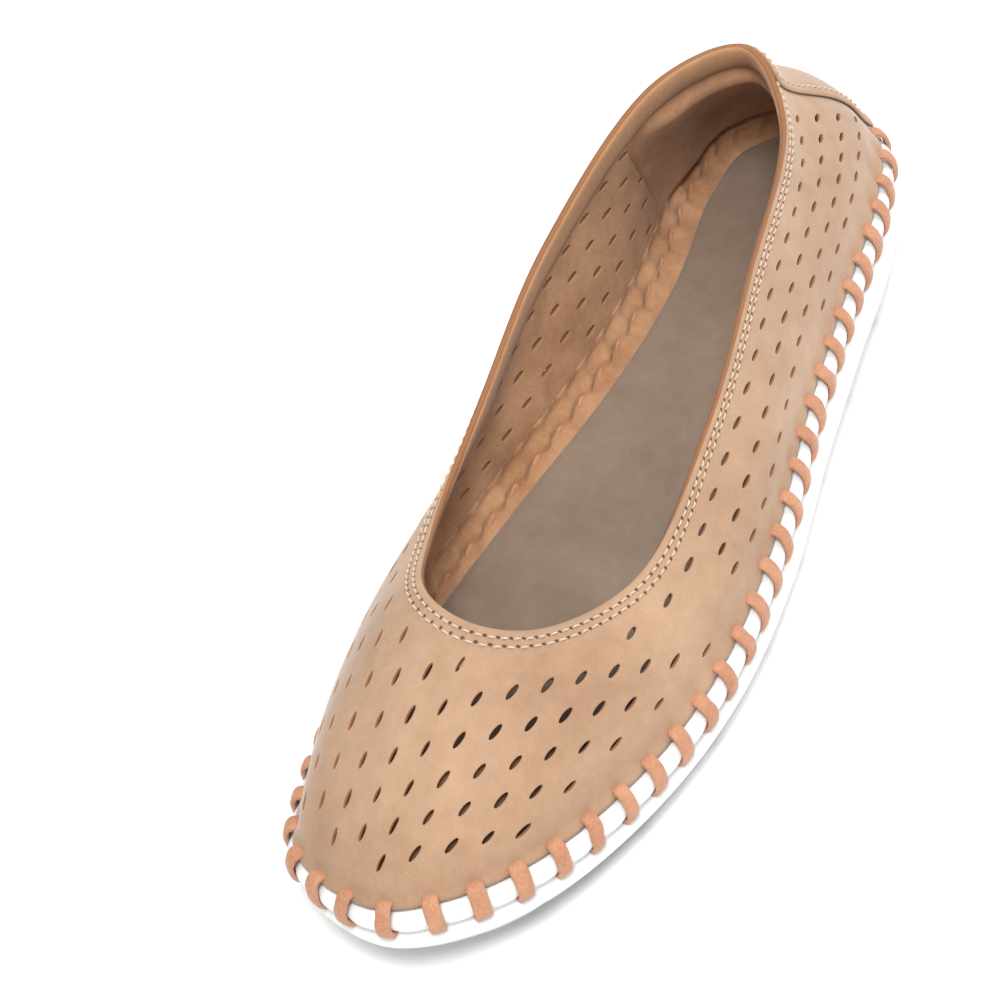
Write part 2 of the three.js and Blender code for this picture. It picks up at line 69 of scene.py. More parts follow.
UPPER_INSET = 0.8 * MM
LEATHER = 1.4 * MM
GAP = 0.3 * MM
upper_low, upper_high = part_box("upper")
FEATHER_LENGTH = upper_high.x - upper_low.x + 2 * UPPER_INSET
HEEL_X = upper_low.x - UPPER_INSET
HEEL_WIDTH = 53.6 * MM
WAIST_WIDTH = 54 * MM
BALL_WIDTH = 79 * MM
TOE_WIDTH = 59.2 * MM
HEEL_STACK = 29 * MM
WAIST_STACK = 25 * MM
BALL_STACK = 17.6 * MM
TOE_STACK = 24.2 * MM
TOE_SPRING = 7 * MM
SPRING_START = 185 * MM
BACK_LEAN = 30 * MM
BACK_HEIGHT = 70 * MM
VAMP_LENGTH = 55 * MM
THROAT_HEIGHT = 51 * MM
OPENING_WIDTH = 51 * MM
OUTSOLE_THICKNESS = 4.5 * MM
RIM_WIDTH = 2.9 * MM
BEAD_RADIUS = 2.35 * MM
BEAD_OUT = -0.3 * MM
BEAD_DROP = 3.1 * MM
GROOVE_OUT = 0.6 * MM
SIDEWALL_OUT = 1.8 * MM
BEVEL_HEIGHT_HEEL = 11 * MM
BEVEL_HEIGHT_TOE = 7 * MM
BEVEL_IN = 5.3 * MM
CUP_FLOOR = -8.4 * MM
INSET_HEEL = 9 * MM
INSET_BALL = 5.9 * MM
FOOTBED_DROP = 2.2 * MM
COVER_THICKNESS = 1.1 * MM
STITCH_COUNT = 62
LACE_WIDTH = 3.6 * MM
LACE_THICKNESS = 1.35 * MM
PATCH_REACH = 4 * TURN / 64

# The two rows of sewing below the top edge, and one stitch's pitch, length and thickness.
STITCH_ROWS = (1.9 * MM, 3.7 * MM)
STITCH_PITCH = 2.5 * MM
STITCH_LENGTH = 1.75 * MM
THREAD_RADIUS = 0.25 * MM
PATCH_THICKNESS = 1.35 * MM
SEAM_INSET = 0.045

LOOP_SAMPLES = 1440

# Steps in angle or t across which a surface's direction is measured.
STEP = 0.004
FINE_STEP = 0.002

# Rows of the plan: share of the length, width there and the y of its middle.
PLAN = [
    (0.05, 0.79 * HEEL_WIDTH, -0.6 * MM),
    (0.135, HEEL_WIDTH, 1 * MM),
    (0.27, WAIST_WIDTH, 4.4 * MM),
    (0.405, 1.1 * WAIST_WIDTH, 5.2 * MM),
    (0.55, 0.91 * BALL_WIDTH, 3.9 * MM),
    (0.68, BALL_WIDTH, 0.9 * MM),
    (0.8, 0.947 * BALL_WIDTH, -2.5 * MM),
    (0.905, TOE_WIDTH, -4.8 * MM),
    (0.965, 0.67 * TOE_WIDTH, -6.2 * MM),
]
HEEL_TIP_Y = -0.5 * MM
TOE_TIP_Y = -2.1 * MM

# Points of the top edge: share of its length from the back, share of its width, height.
TOP_EDGE = [
    (0, 0, BACK_HEIGHT),
    (0.117, 0.333, 0.93 * BACK_HEIGHT),
    (0.396, 0.502, 0.843 * BACK_HEIGHT),
    (0.62, 0.555, 0.7 * BACK_HEIGHT),
    (0.837, 0.49, 0.8 * THROAT_HEIGHT),
    (0.965, 0.27, 0.9 * THROAT_HEIGHT),
    (1, 0.05, THROAT_HEIGHT),
    (0.965, -0.24, 1.01 * THROAT_HEIGHT),
    (0.837, -0.47, 0.88 * THROAT_HEIGHT),
    (0.62, -0.52, 0.745 * BACK_HEIGHT),
    (0.396, -0.498, 0.9 * BACK_HEIGHT),
    (0.117, -0.275, 1.057 * BACK_HEIGHT),
]

# Handles of the upper's sections at heel, side and toe: length, and lean outwards in degrees.
LOW_HANDLE = (20 * MM, 16 * MM, 9.6 * MM)
LOW_LEAN = (-8, 1.5, -5)
HIGH_HANDLE = (14 * MM, 14 * MM, 17 * MM)
HIGH_LEAN = (0, 12, 71)

# ---- Colours ----------------------------------------------------------------------------------

NUBUCK = (0.50, 0.325, 0.21, 1)
NUBUCK_DARK = (0.27, 0.155, 0.09, 1)
FLESH = (0.56, 0.32, 0.18, 1)
FLESH_DARK = (0.27, 0.12, 0.05, 1)
FACING = (0.52, 0.28, 0.135, 1)
CUT_EDGE = (0.33, 0.15, 0.07, 1)
LACE = (0.56, 0.27, 0.15, 1)
LACE_DARK = (0.32, 0.13, 0.065, 1)
WHITE = (0.80, 0.82, 0.83, 1)
SOIL = (0.62, 0.60, 0.57, 1)
GREY = (0.275, 0.205, 0.155, 1)
GREY_DARK = (0.15, 0.105, 0.075, 1)
THREAD = (0.80, 0.60, 0.42, 1)
THREAD_DARK = (0.42, 0.27, 0.16, 1)
# Painted shade inside the needle holes.
NEEDLE_HOLE_SHADE = (0.09, 0.045, 0.02, 1)
# Painted shade: the near-black colour of the footbed inside the toe box, under the vamp.
TOE_BOX_SHADE = (0.07, 0.045, 0.03, 1)
TREAD_WHITE = (0.78, 0.79, 0.79, 1)
FIBRE_BOARD = (0.55, 0.45, 0.3, 1)
FIBRE_BOARD_DARK = (0.35, 0.27, 0.17, 1)
STIFFENER = (0.20, 0.11, 0.06, 1)
STIFFENER_DARK = (0.1, 0.05, 0.025, 1)
PAD_FOAM = (0.75, 0.74, 0.7, 1)
FLOOR_PALE = (0.93, 0.93, 0.93, 1)
FLOOR_GREY = (0.9, 0.9, 0.9, 1)

# ---- Curves and loops -----------------------------------------------------------------------


def unit(vectors):
    """Vectors divided by their length."""
    length = np.linalg.norm(vectors, axis=-1, keepdims=True)
    return vectors / np.maximum(length, 1e-12)


def travel_along(points):
    """Distance travelled from the first point of a line to each of its points."""
    steps = np.linalg.norm(np.diff(points, axis=0), axis=1)
    return np.concatenate([[0], np.cumsum(steps)])


def smooth(low, high, x):
    """0 below low, 1 above high, with a smooth step between."""
    part = np.clip((x - low) / (high - low), 0, 1)
    return part * part * (3 - 2 * part)


def closed_curve(points, count):
    """A closed centripetal Catmull-Rom curve through the points, at `count` even steps."""
    points = np.array(points, float)
    total = len(points)
    place = np.linspace(0, total, count, endpoint=False)
    index = np.floor(place).astype(int)
    part = (place - index)[:, None]
    before, start, end, after = (points[(index + k) % total] for k in (-1, 0, 1, 2))

    def knot(a, b):
        return np.sqrt(np.linalg.norm(a - b, axis=1))[:, None]

    first, middle, last = knot(before, start), knot(start, end), knot(end, after)
    leave = (start - before) / first - (end - before) / (first + middle) + (end - start) / middle
    arrive = (end - start) / middle - (after - start) / (middle + last) + (after - end) / last
    leave *= middle
    arrive *= middle
    square = -3 * start + 3 * end - 2 * leave - arrive
    cube = 2 * start - 2 * end + leave + arrive
    return start + leave * part + square * part**2 + cube * part**3


class Loop:
    """A closed loop read by angle: 0 at the heel, pi at the toe, outer side first.

    A point's x follows the angle's cosine, so the two sides pair up at equal x.
    """

    def __init__(self, points):
        curve = closed_curve(points, LOOP_SAMPLES)
        curve = np.roll(curve, -int(np.argmin(curve[:, 0])), axis=0)
        curve = np.vstack([curve, curve[:1]])
        front = int(np.argmax(curve[:, 0]))
        share = (curve[:, 0] - curve[0, 0]) / (curve[front, 0] - curve[0, 0])
        angles = np.arccos(np.clip(1 - 2 * share, -1, 1))
        angles[front + 1 :] = TURN - angles[front + 1 :]
        self.angles = angles
        self.curve = curve

    def at(self, angle):
        """The points at some angles."""
        angle = np.mod(angle, TURN)
        return np.stack([np.interp(angle, self.angles, self.curve[:, k]) for k in range(3)], -1)

    def normal(self, angle):
        """The outward direction in plan."""
        step = self.at(angle + STEP) - self.at(angle - STEP)
        return unit(np.stack([-step[..., 1], step[..., 0], np.zeros_like(step[..., 0])], -1))


def feather_points():
    """The plan's points, heel first, round the outer side and back along the inner."""
    outer = [(share * FEATHER_LENGTH, middle + width / 2, 0) for share, width, middle in PLAN]
    inner = [(share * FEATHER_LENGTH, middle - width / 2, 0) for share, width, middle in PLAN]
    return [(0, HEEL_TIP_Y, 0), *outer, (FEATHER_LENGTH, TOE_TIP_Y, 0), *reversed(inner)]


def top_edge_points():
    """The top edge's points, back first."""
    length = FEATHER_LENGTH - VAMP_LENGTH - BACK_LEAN
    return [
        (BACK_LEAN + share * length, across * OPENING_WIDTH, height)
        for share, across, height in TOP_EDGE
    ]


feather = Loop(feather_points())
top_edge = Loop(top_edge_points())

# The frame's middle lies between the insole board's two sides.
board_low, board_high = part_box("insole_board")
feather_ys = feather.at(np.linspace(0, TURN, 721))[:, 1]
SHIFT = np.array([HEEL_X, (board_low.y + board_high.y - feather_ys.min() - feather_ys.max()) / 2, 0])


def open_spline(points, count):
    """A uniform Catmull-Rom curve from the first point to the last."""
    points = np.array(points, float)
    place = np.linspace(0, len(points) - 1, count)
    index = np.minimum(np.floor(place).astype(int), len(points) - 2)
    part = (place - index)[:, None]
    before = points[np.maximum(index - 1, 0)]
    start, end = points[index], points[index + 1]
    after = points[np.minimum(index + 2, len(points) - 1)]
    leave, arrive = (end - before) / 2, (after - start) / 2
    square = -3 * start + 3 * end - 2 * leave - arrive
    cube = 2 * start - 2 * end + leave + arrive
    return start + leave * part + square * part**2 + cube * part**3


# The feather line's height: share of the length, height.
stack_curve = open_spline(
    [
        (0, HEEL_STACK),
        (0.16, HEEL_STACK - 0.7 * MM),
        (0.405, WAIST_STACK),
        (0.7, BALL_STACK),
        (0.865, 0.79 * BALL_STACK + 0.21 * TOE_STACK),
        (1, TOE_STACK),
    ],
    401,
)


def stack_at(x):
    """The feather line's height above the ground."""
    return np.interp(x / FEATHER_LENGTH, stack_curve[:, 0], stack_curve[:, 1])


def ground_at(x):
    """The sole's lift off the ground: a parabola from the ball to the toe."""
    return TOE_SPRING * (np.maximum(0, x - SPRING_START) / (FEATHER_LENGTH - SPRING_START)) ** 2


def inset_at(x):
    """How far the footbed's edge lies inside the feather line."""
    return INSET_HEEL + (INSET_BALL - INSET_HEEL) * smooth(0.2 * FEATHER_LENGTH, 0.62 * FEATHER_LENGTH, x)


def bevel_height_at(x):
    """The height of the corner where the sole's side turns in."""
    step = smooth(0.1 * FEATHER_LENGTH, 0.6 * FEATHER_LENGTH, x)
    return BEVEL_HEIGHT_HEEL + (BEVEL_HEIGHT_TOE - BEVEL_HEIGHT_HEEL) * step


def rim_point(angle, out, up):
    """A point `out` from the feather line and `up` from its height."""
    angle, out, up = np.broadcast_arrays(angle, out, up)
    base = feather.at(angle)
    point = base + feather.normal(angle) * out[..., None]
    point[..., 2] = stack_at(base[..., 0]) + up
    return point


def ground_point(angle, out, height):
    """A point `out` from the feather line and `height` above the ground."""
    angle, out, height = np.broadcast_arrays(angle, out, height)
    base = feather.at(angle)
    point = base + feather.normal(angle) * out[..., None]
    point[..., 2] = ground_at(base[..., 0]) + height
    return point


# Distance travelled along the feather line, for evenly spaced stitches.
travel_angles = np.linspace(0, TURN, 2881)
travelled = travel_along(feather.at(travel_angles))
PERIMETER = travelled[-1]
PITCH = PERIMETER / STITCH_COUNT


def turns_at(angle):
    """How many stitches fit between the heel and an angle; straps lie at k + 0.55."""
    return np.interp(np.mod(angle, TURN), travel_angles, travelled) / PITCH


def angle_at_turns(turns):
    """The angle at a number of stitches from the heel."""
    return np.interp(np.mod(turns, STITCH_COUNT) * PITCH, travelled, travel_angles)


STRAP_PHASE = 0.55


def pinch_at(angle):
    """1 at each strap, falling to 0 between straps."""
    offset = np.mod(turns_at(angle) - STRAP_PHASE + 0.5, 1) - 0.5
    return np.exp(-((offset * PITCH / (2.1 * MM)) ** 2))


# ---- The upper's surface --------------------------------------------------------------------


def section_value(values, share):
    """A value at heel, side and toe, blended along the shoe."""
    to_side = smooth(0.02, 0.27, share)
    to_toe = smooth(0.6, 0.93, share)
    return values[0] * (1 - to_side) + values[1] * (to_side - to_toe) + values[2] * to_toe


def upper_point(angle, t):
    """The upper's outer face: a cubic curve from the feather line (t 0) to the top edge (t 1)."""
    angle, t = np.broadcast_arrays(np.asarray(angle, float), np.asarray(t, float))
    low = rim_point(angle, -UPPER_INSET, 0)
    high = top_edge.at(angle)
    share = feather.at(angle)[..., 0] / FEATHER_LENGTH
    rise = np.array([0, 0, 1.0])
    lean = np.radians(section_value(LOW_LEAN, share))[..., None]
    reach = section_value(LOW_HANDLE, share)[..., None]
    low_handle = low + reach * (np.sin(lean) * feather.normal(angle) + np.cos(lean) * rise)
    lean = np.radians(section_value(HIGH_LEAN, share))[..., None]
    reach = section_value(HIGH_HANDLE, share)[..., None]
    high_handle = high + reach * (np.sin(lean) * top_edge.normal(angle) - np.cos(lean) * rise)
    t = t[..., None]
    return (
        (1 - t) ** 3 * low
        + 3 * t * (1 - t) ** 2 * low_handle
        + 3 * t**2 * (1 - t) * high_handle
        + t**3 * high
    )


def upper_normal(angle, t):
    """The outward normal of the upper's outer face."""
    angle, t = np.broadcast_arrays(np.asarray(angle, float), np.asarray(t, float))
    along = upper_point(angle + STEP, t) - upper_point(angle - STEP, t)
    up = upper_point(angle, np.minimum(t + STEP, 1)) - upper_point(angle, np.maximum(t - STEP, 0))
    return unit(np.cross(up, along))


def layer_point(angle, t, out):
    """A point `out` from the upper's outer face."""
    return upper_point(angle, t) + upper_normal(angle, t) * np.asarray(out)[..., None]


def soft_point(angle, t, out):
    """The same, with the leather drawn in at each strap and a few soft swells."""
    height = np.clip(t, 0, 1)
    drawn = pinch_at(angle) * np.exp(-((height / 0.13) ** 2))
    flare = np.exp(-((height / 0.055) ** 2))
    swell = 0.35 * MM * np.sin(3 * angle + 1) * np.sin(math.pi * height) ** 2
    return layer_point(angle, t, out - 0.45 * MM * drawn + 1.35 * MM * flare + swell)


# ---- Meshes ---------------------------------------------------------------------------------


def make_object(name, points, faces, uvs=None):
    """A smooth-shaded mesh object; faces may be one array or a list of lists."""
    mesh = bpy.data.meshes.new(name)
    faces = faces.tolist() if isinstance(faces, np.ndarray) else faces
    mesh.from_pydata((points.reshape(-1, 3) + SHIFT).tolist(), [], faces)
    mesh.validate()
    mesh.polygons.foreach_set("use_smooth", np.ones(len(mesh.polygons), bool))
    if uvs is not None:
        corners = np.zeros(len(mesh.loops), int)
        mesh.loops.foreach_get("vertex_index", corners)
        layer = mesh.uv_layers.new(name="place")
        layer.data.foreach_set("uv", uvs.reshape(-1, 2)[corners].astype(np.float32).ravel())
    piece = bpy.data.objects.new(name, mesh)
    bpy.context.scene.collection.objects.link(piece)
    return piece


def grid_faces(rows, columns, wrap_rows=False, wrap_columns=False):
    """The quads of a grid of points, counted row by row."""
    row_count = rows if wrap_rows else rows - 1
    column_count = columns if wrap_columns else columns - 1
    i, j = np.meshgrid(np.arange(row_count), np.arange(column_count), indexing="ij")
    below, beside = (i + 1) % rows, (j + 1) % columns
    quads = [i * columns + j, i * columns + beside, below * columns + beside, below * columns + j]
    return np.stack(quads, -1).reshape(-1, 4)


def outward(piece, merge=1e-6):
    """Joins doubled points and turns the faces outwards."""
    shape = bmesh.new()
    shape.from_mesh(piece.data)
    bmesh.ops.remove_doubles(shape, verts=shape.verts, dist=merge)
    bmesh.ops.dissolve_degenerate(shape, dist=merge, edges=shape.edges)
    bmesh.ops.recalc_face_normals(shape, faces=shape.faces)
    if shape.calc_volume(signed=True) < 0:
        bmesh.ops.reverse_faces(shape, faces=shape.faces)
    shape.to_mesh(piece.data)
    shape.free()
    return piece


def ring_object(name, points, uvs=None):
    """A body that runs all the way round: points[station, place in section]."""
    stations, places = points.shape[:2]
    faces = grid_faces(stations, places, wrap_rows=True, wrap_columns=True)
    return outward(make_object(name, points, faces, uvs))


def capped_object(name, points):
    """A body through closed sections, closed at each end by one face."""
    stations, places = points.shape[:2]
    faces = grid_faces(stations, places, wrap_columns=True).tolist()
    faces.append(list(range(places)))
    faces.append(list(range((stations - 1) * places, stations * places)))
    return outward(make_object(name, points, faces))


def plate_object(name, sides, across):
    """A body filled across from side to side.

    sides[station, k] lists each side from its top edge down; stations pair up about the
    heel. The top and bottom run straight across in `across` steps.
    """
    stations = len(sides)
    half = stations // 2
    left, right = sides[: half + 1], sides[(stations - np.arange(half + 1)) % stations]
    share = np.linspace(0, 1, across + 1)[None, 1:-1, None]
    top = right[:, :1] + (left[:, :1] - right[:, :1]) * share
    bottom = left[:, -1:] + (right[:, -1:] - left[:, -1:]) * share
    sections = np.concatenate([top, left, bottom, right[:, ::-1]], 1)
    faces = grid_faces(half + 1, sections.shape[1], wrap_columns=True)
    return outward(make_object(name, sections, faces), merge=2e-6)


def even_loop(count):
    """Angles of `count` paired stations."""
    return np.arange(count) / count * TURN


def finish_piece(piece, material, slot, *nodes, second=None):
    """Gives a piece its material, its body and the nodes it stands for; its record slot is not used."""
    piece.data.materials.append(material)
    if second:
        piece.data.materials.append(second)
    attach(piece, "root")
    if nodes:
        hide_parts(*nodes)
    return piece


# ---- Shader groups --------------------------------------------------------------------------


def set_inputs(node, values):
    """Sets a node's inputs by name or number: a socket is linked, anything else is its value."""
    for key, value in values.items():
        socket = node.inputs[key]
        if isinstance(value, bpy.types.NodeSocket):
            node.id_data.links.new(value, socket)
        else:
            socket.default_value = value
    return node


def node(tree, kind, inputs=None, **settings):
    """A new node with its settings and inputs."""
    made = tree.nodes.new(kind)
    for key, value in settings.items():
        setattr(made, key, value)
    return set_inputs(made, inputs or {})


def maths(tree, operation, first, second=0.0):
    """A math node's value."""
    return node(tree, "ShaderNodeMath", {0: first, 1: second}, operation=operation).outputs[0]


def noise(tree, where, scale, detail=4.0, roughness=0.55, distortion=0.0):
    """Noise between 0 and 1."""
    inputs = {"Vector": where, "Scale": scale, "Detail": detail}
    inputs |= {"Roughness": roughness, "Distortion": distortion}
    return node(tree, "ShaderNodeTexNoise", inputs).outputs["Fac"]


def ramp(tree, value, low, high, start=0.0, end=1.0):
    """A value mapped from one range to another, held at its ends."""
    inputs = {"Value": value, "From Min": low, "From Max": high, "To Min": start, "To Max": end}
    return node(tree, "ShaderNodeMapRange", inputs, clamp=True).outputs["Result"]


def mix(tree, share, first, second, blend="MIX"):
    """A colour between two colours."""
    made = node(tree, "ShaderNodeMix", data_type="RGBA", blend_type=blend)
    made.inputs[0].default_value = 0.5
    set_inputs(made, {0: share, 6: first, 7: second})
    return made.outputs[2]


def new_group(name, inputs, outputs):
    """A shader group with named sockets; returns its tree, its input node and its output node."""
    tree = bpy.data.node_groups.new(name, "ShaderNodeTree")
    for label, kind, value in inputs:
        socket = tree.interface.new_socket(label, in_out="INPUT", socket_type=kind)
        if value is not None:
            socket.default_value = value
    for label, kind in outputs:
        tree.interface.new_socket(label, in_out="OUTPUT", socket_type=kind)
    return tree, tree.nodes.new("NodeGroupInput"), tree.nodes.new("NodeGroupOutput")


def make_nap_group():
    """Brushed leather: clouds of lighter and darker nap over a fine, felted grain."""
    tree, given, result = new_group(
        "Brushed nap",
        [
            ("Place", "NodeSocketVector", None),
            ("Colour", "NodeSocketColor", (0.6, 0.4, 0.25, 1)),
            ("Dark", "NodeSocketColor", (0.3, 0.18, 0.1, 1)),
            ("Cloud scale", "NodeSocketFloat", 35.0),
            ("Grain scale", "NodeSocketFloat", 2600.0),
            ("Cloud amount", "NodeSocketFloat", 0.4),
        ],
        [("Colour", "NodeSocketColor"), ("Height", "NodeSocketFloat"), ("Roughness", "NodeSocketFloat")],
    )
    where = given.outputs["Place"]
    clouds = noise(tree, where, given.outputs["Cloud scale"], 5.0, 0.6, 0.4)
    middle_scale = maths(tree, "MULTIPLY", given.outputs["Cloud scale"], 9.0)
    patches = noise(tree, where, middle_scale, 4.0, 0.6)
    grain = noise(tree, where, given.outputs["Grain scale"], 3.0, 0.7)
    cloud = ramp(tree, clouds, 0.35, 0.7)
    cloud = maths(tree, "MULTIPLY", cloud, given.outputs["Cloud amount"])
    patch = ramp(tree, patches, 0.3, 0.75, 0.0, 0.22)
    speck = ramp(tree, grain, 0.3, 0.8, 0.0, 0.3)
    shade = maths(tree, "ADD", maths(tree, "ADD", cloud, patch), speck)
    colour = mix(tree, maths(tree, "MINIMUM", shade, 1.0), given.outputs["Colour"], given.outputs["Dark"])
    height = maths(tree, "ADD", maths(tree, "MULTIPLY", grain, 0.55), maths(tree, "MULTIPLY", patches, 0.45))
    roughness = ramp(tree, patches, 0.2, 0.8, 0.84, 0.98)
    set_inputs(result, {"Colour": colour, "Height": height, "Roughness": roughness})
    return tree


def make_grain_group():
    """Smooth leather: small rounded cells with creases between, painted darker as shade, and soft wear."""
    tree, given, result = new_group(
        "Leather grain",
        [
            ("Place", "NodeSocketVector", None),
            ("Colour", "NodeSocketColor", (0.6, 0.4, 0.25, 1)),
            ("Dark", "NodeSocketColor", (0.3, 0.18, 0.1, 1)),
            ("Cell scale", "NodeSocketFloat", 1400.0),
        ],
        [("Colour", "NodeSocketColor"), ("Height", "NodeSocketFloat"), ("Roughness", "NodeSocketFloat")],
    )
    where = given.outputs["Place"]
    cells = node(tree, "ShaderNodeTexVoronoi", {"Vector": where, "Scale": given.outputs["Cell scale"]})
    wear = noise(tree, where, 180.0, 5.0, 0.6)
    fine = noise(tree, where, 3200.0, 3.0, 0.6)
    crease = ramp(tree, cells.outputs["Distance"], 0.25, 0.75)
    # Painted shade: the creases between cells are mixed a quarter of the way to the dark colour.
    shade = maths(tree, "ADD", maths(tree, "MULTIPLY", crease, 0.25), ramp(tree, wear, 0.3, 0.75, 0.0, 0.45))
    colour = mix(tree, shade, given.outputs["Colour"], given.outputs["Dark"])
    height = maths(tree, "SUBTRACT", maths(tree, "MULTIPLY", fine, 0.4), crease)
    roughness = ramp(tree, wear, 0.2, 0.8, 0.5, 0.75)
    set_inputs(result, {"Colour": colour, "Height": height, "Roughness": roughness})
    return tree


def make_moulded_group():
    """Moulded foam: an even matte skin with faint flow marks, specks and handling marks."""
    tree, given, result = new_group(
        "Moulded skin",
        [
            ("Place", "NodeSocketVector", None),
            ("Colour", "NodeSocketColor", (0.9, 0.9, 0.9, 1)),
            ("Soil", "NodeSocketColor", (0.6, 0.58, 0.55, 1)),
            ("Skin scale", "NodeSocketFloat", 900.0),
        ],
        [("Colour", "NodeSocketColor"), ("Height", "NodeSocketFloat"), ("Roughness", "NodeSocketFloat")],
    )
    where = given.outputs["Place"]
    marks = noise(tree, where, 30.0, 6.0, 0.65, 0.6)
    specks = noise(tree, where, 650.0, 2.0, 0.5)
    skin = noise(tree, where, given.outputs["Skin scale"], 3.0, 0.6)
    handled = ramp(tree, marks, 0.5, 0.8, 0.0, 0.18)
    soil = maths(tree, "ADD", handled, ramp(tree, specks, 0.72, 0.8, 0.0, 0.25))
    colour = mix(tree, soil, given.outputs["Colour"], given.outputs["Soil"])
    height = maths(tree, "ADD", maths(tree, "MULTIPLY", skin, 0.7), maths(tree, "MULTIPLY", marks, 0.3))
    roughness = ramp(tree, marks, 0.3, 0.8, 0.45, 0.62)
    set_inputs(result, {"Colour": colour, "Height": height, "Roughness": roughness})
    return tree


def make_twist_group():
    """Spun yarn: strands that slant across the thread, with painted shade in the hollows between them, and
    stray fibres.
    """
    tree, given, result = new_group(
        "Spun yarn",
        [
            ("Place", "NodeSocketVector", None),
            ("Colour", "NodeSocketColor", (0.8, 0.65, 0.5, 1)),
            ("Dark", "NodeSocketColor", (0.4, 0.3, 0.2, 1)),
            ("Strand scale", "NodeSocketFloat", 1800.0),
        ],
        [("Colour", "NodeSocketColor"), ("Height", "NodeSocketFloat")],
    )
    where = given.outputs["Place"]
    wave_inputs = {"Vector": where, "Scale": given.outputs["Strand scale"], "Distortion": 1.5, "Detail": 2.0}
    strands = node(tree, "ShaderNodeTexWave", wave_inputs, bands_direction="DIAGONAL").outputs["Fac"]
    fibres = noise(tree, where, 4000.0, 2.0, 0.6)
    # Painted shade: the hollows between the strands are mixed towards the dark colour.
    hollow_shade = ramp(tree, strands, 0.0, 1.0, 0.5, 0.0)
    shade = maths(tree, "ADD", hollow_shade, ramp(tree, fibres, 0.4, 0.8, 0.0, 0.25))
    colour = mix(tree, shade, given.outputs["Colour"], given.outputs["Dark"])
    height = maths(tree, "ADD", strands, maths(tree, "MULTIPLY", fibres, 0.4))
    set_inputs(result, {"Colour": colour, "Height": height})
    return tree


groups = {
    "nap": make_nap_group(),
    "grain": make_grain_group(),
    "moulded": make_moulded_group(),
    "twist": make_twist_group(),
}

# ---- Materials ------------------------------------------------------------------------------


def new_material(name):
    """A material with its Principled shader and its object coordinates."""
    material = bpy.data.materials.new(name)
    material.use_nodes = True
    tree = material.node_tree
    shader = tree.nodes["Principled BSDF"]
    where = tree.nodes.new("ShaderNodeTexCoord").outputs["Object"]
    return material, tree, shader, where


def apply_bump(tree, shader, height, depth, strength=1.0):
    """Bumps the shader's normal by a height, `depth` metres from 0 to 1."""
    inputs = {"Height": height, "Distance": depth, "Strength": strength}
    bump = node(tree, "ShaderNodeBump", inputs)
    tree.links.new(bump.outputs["Normal"], shader.inputs["Normal"])


def effect(tree, group, inputs):
    """One of the shared groups, placed in a material."""
    return node(tree, "ShaderNodeGroup", inputs, node_tree=groups[group])


def nap_material(name, colour, dark, clouds=0.4, cloud_scale=35.0, depth=0.12 * MM, sheen=0.35):
    """Nubuck, suede or microfibre in two colours."""
    material, tree, shader, where = new_material(name)
    inputs = {"Place": where, "Colour": colour, "Dark": dark}
    inputs |= {"Cloud amount": clouds, "Cloud scale": cloud_scale}
    nap = effect(tree, "nap", inputs)
    tree.links.new(nap.outputs["Colour"], shader.inputs["Base Color"])
    tree.links.new(nap.outputs["Roughness"], shader.inputs["Roughness"])
    shader.inputs["Sheen Weight"].default_value = sheen
    shader.inputs["Sheen Roughness"].default_value = 0.45
    shader.inputs["Specular IOR Level"].default_value = 0.25
    apply_bump(tree, shader, nap.outputs["Height"], depth)
    return material


def stitched_nubuck():
    """Nubuck with two rows of needle holes near the top edge, placed by distance from it. Each hole is painted
    dark as the shade inside it, and pressed in by the bump.
    """
    material = nap_material("Nubuck", NUBUCK, NUBUCK_DARK, 0.45, 26.0)
    tree = material.node_tree
    shader = tree.nodes["Principled BSDF"]
    place = node(tree, "ShaderNodeUVMap", uv_map="place").outputs["UV"]
    split = node(tree, "ShaderNodeSeparateXYZ", {"Vector": place})
    below = split.outputs["Y"]
    along = split.outputs["X"]
    marks = 0.0
    for row, depth in enumerate(STITCH_ROWS):
        turn = maths(tree, "ADD", maths(tree, "MULTIPLY", along, 1 / STITCH_PITCH), 0.5 * row)
        near = maths(tree, "PINGPONG", turn, 0.5)
        near = maths(tree, "MULTIPLY", near, STITCH_PITCH)
        aside = maths(tree, "SUBTRACT", below, depth)
        squares = [maths(tree, "MULTIPLY", value, value) for value in (near, aside)]
        distance = maths(tree, "SQRT", maths(tree, "ADD", *squares))
        hole = ramp(tree, distance, 0.2 * MM, 0.5 * MM, 1.0, 0.0)
        marks = maths(tree, "MAXIMUM", hole, marks)
    base = shader.inputs["Base Color"].links[0].from_socket
    nap_height = tree.nodes["Bump"].inputs["Height"].links[0].from_socket
    # Painted shade: each needle hole is mixed towards a near-black colour.
    tree.links.new(mix(tree, marks, base, NEEDLE_HOLE_SHADE), shader.inputs["Base Color"])
    height = maths(tree, "SUBTRACT", nap_height, maths(tree, "MULTIPLY", marks, 5.0))
    tree.links.new(height, tree.nodes["Bump"].inputs["Height"])
    return material


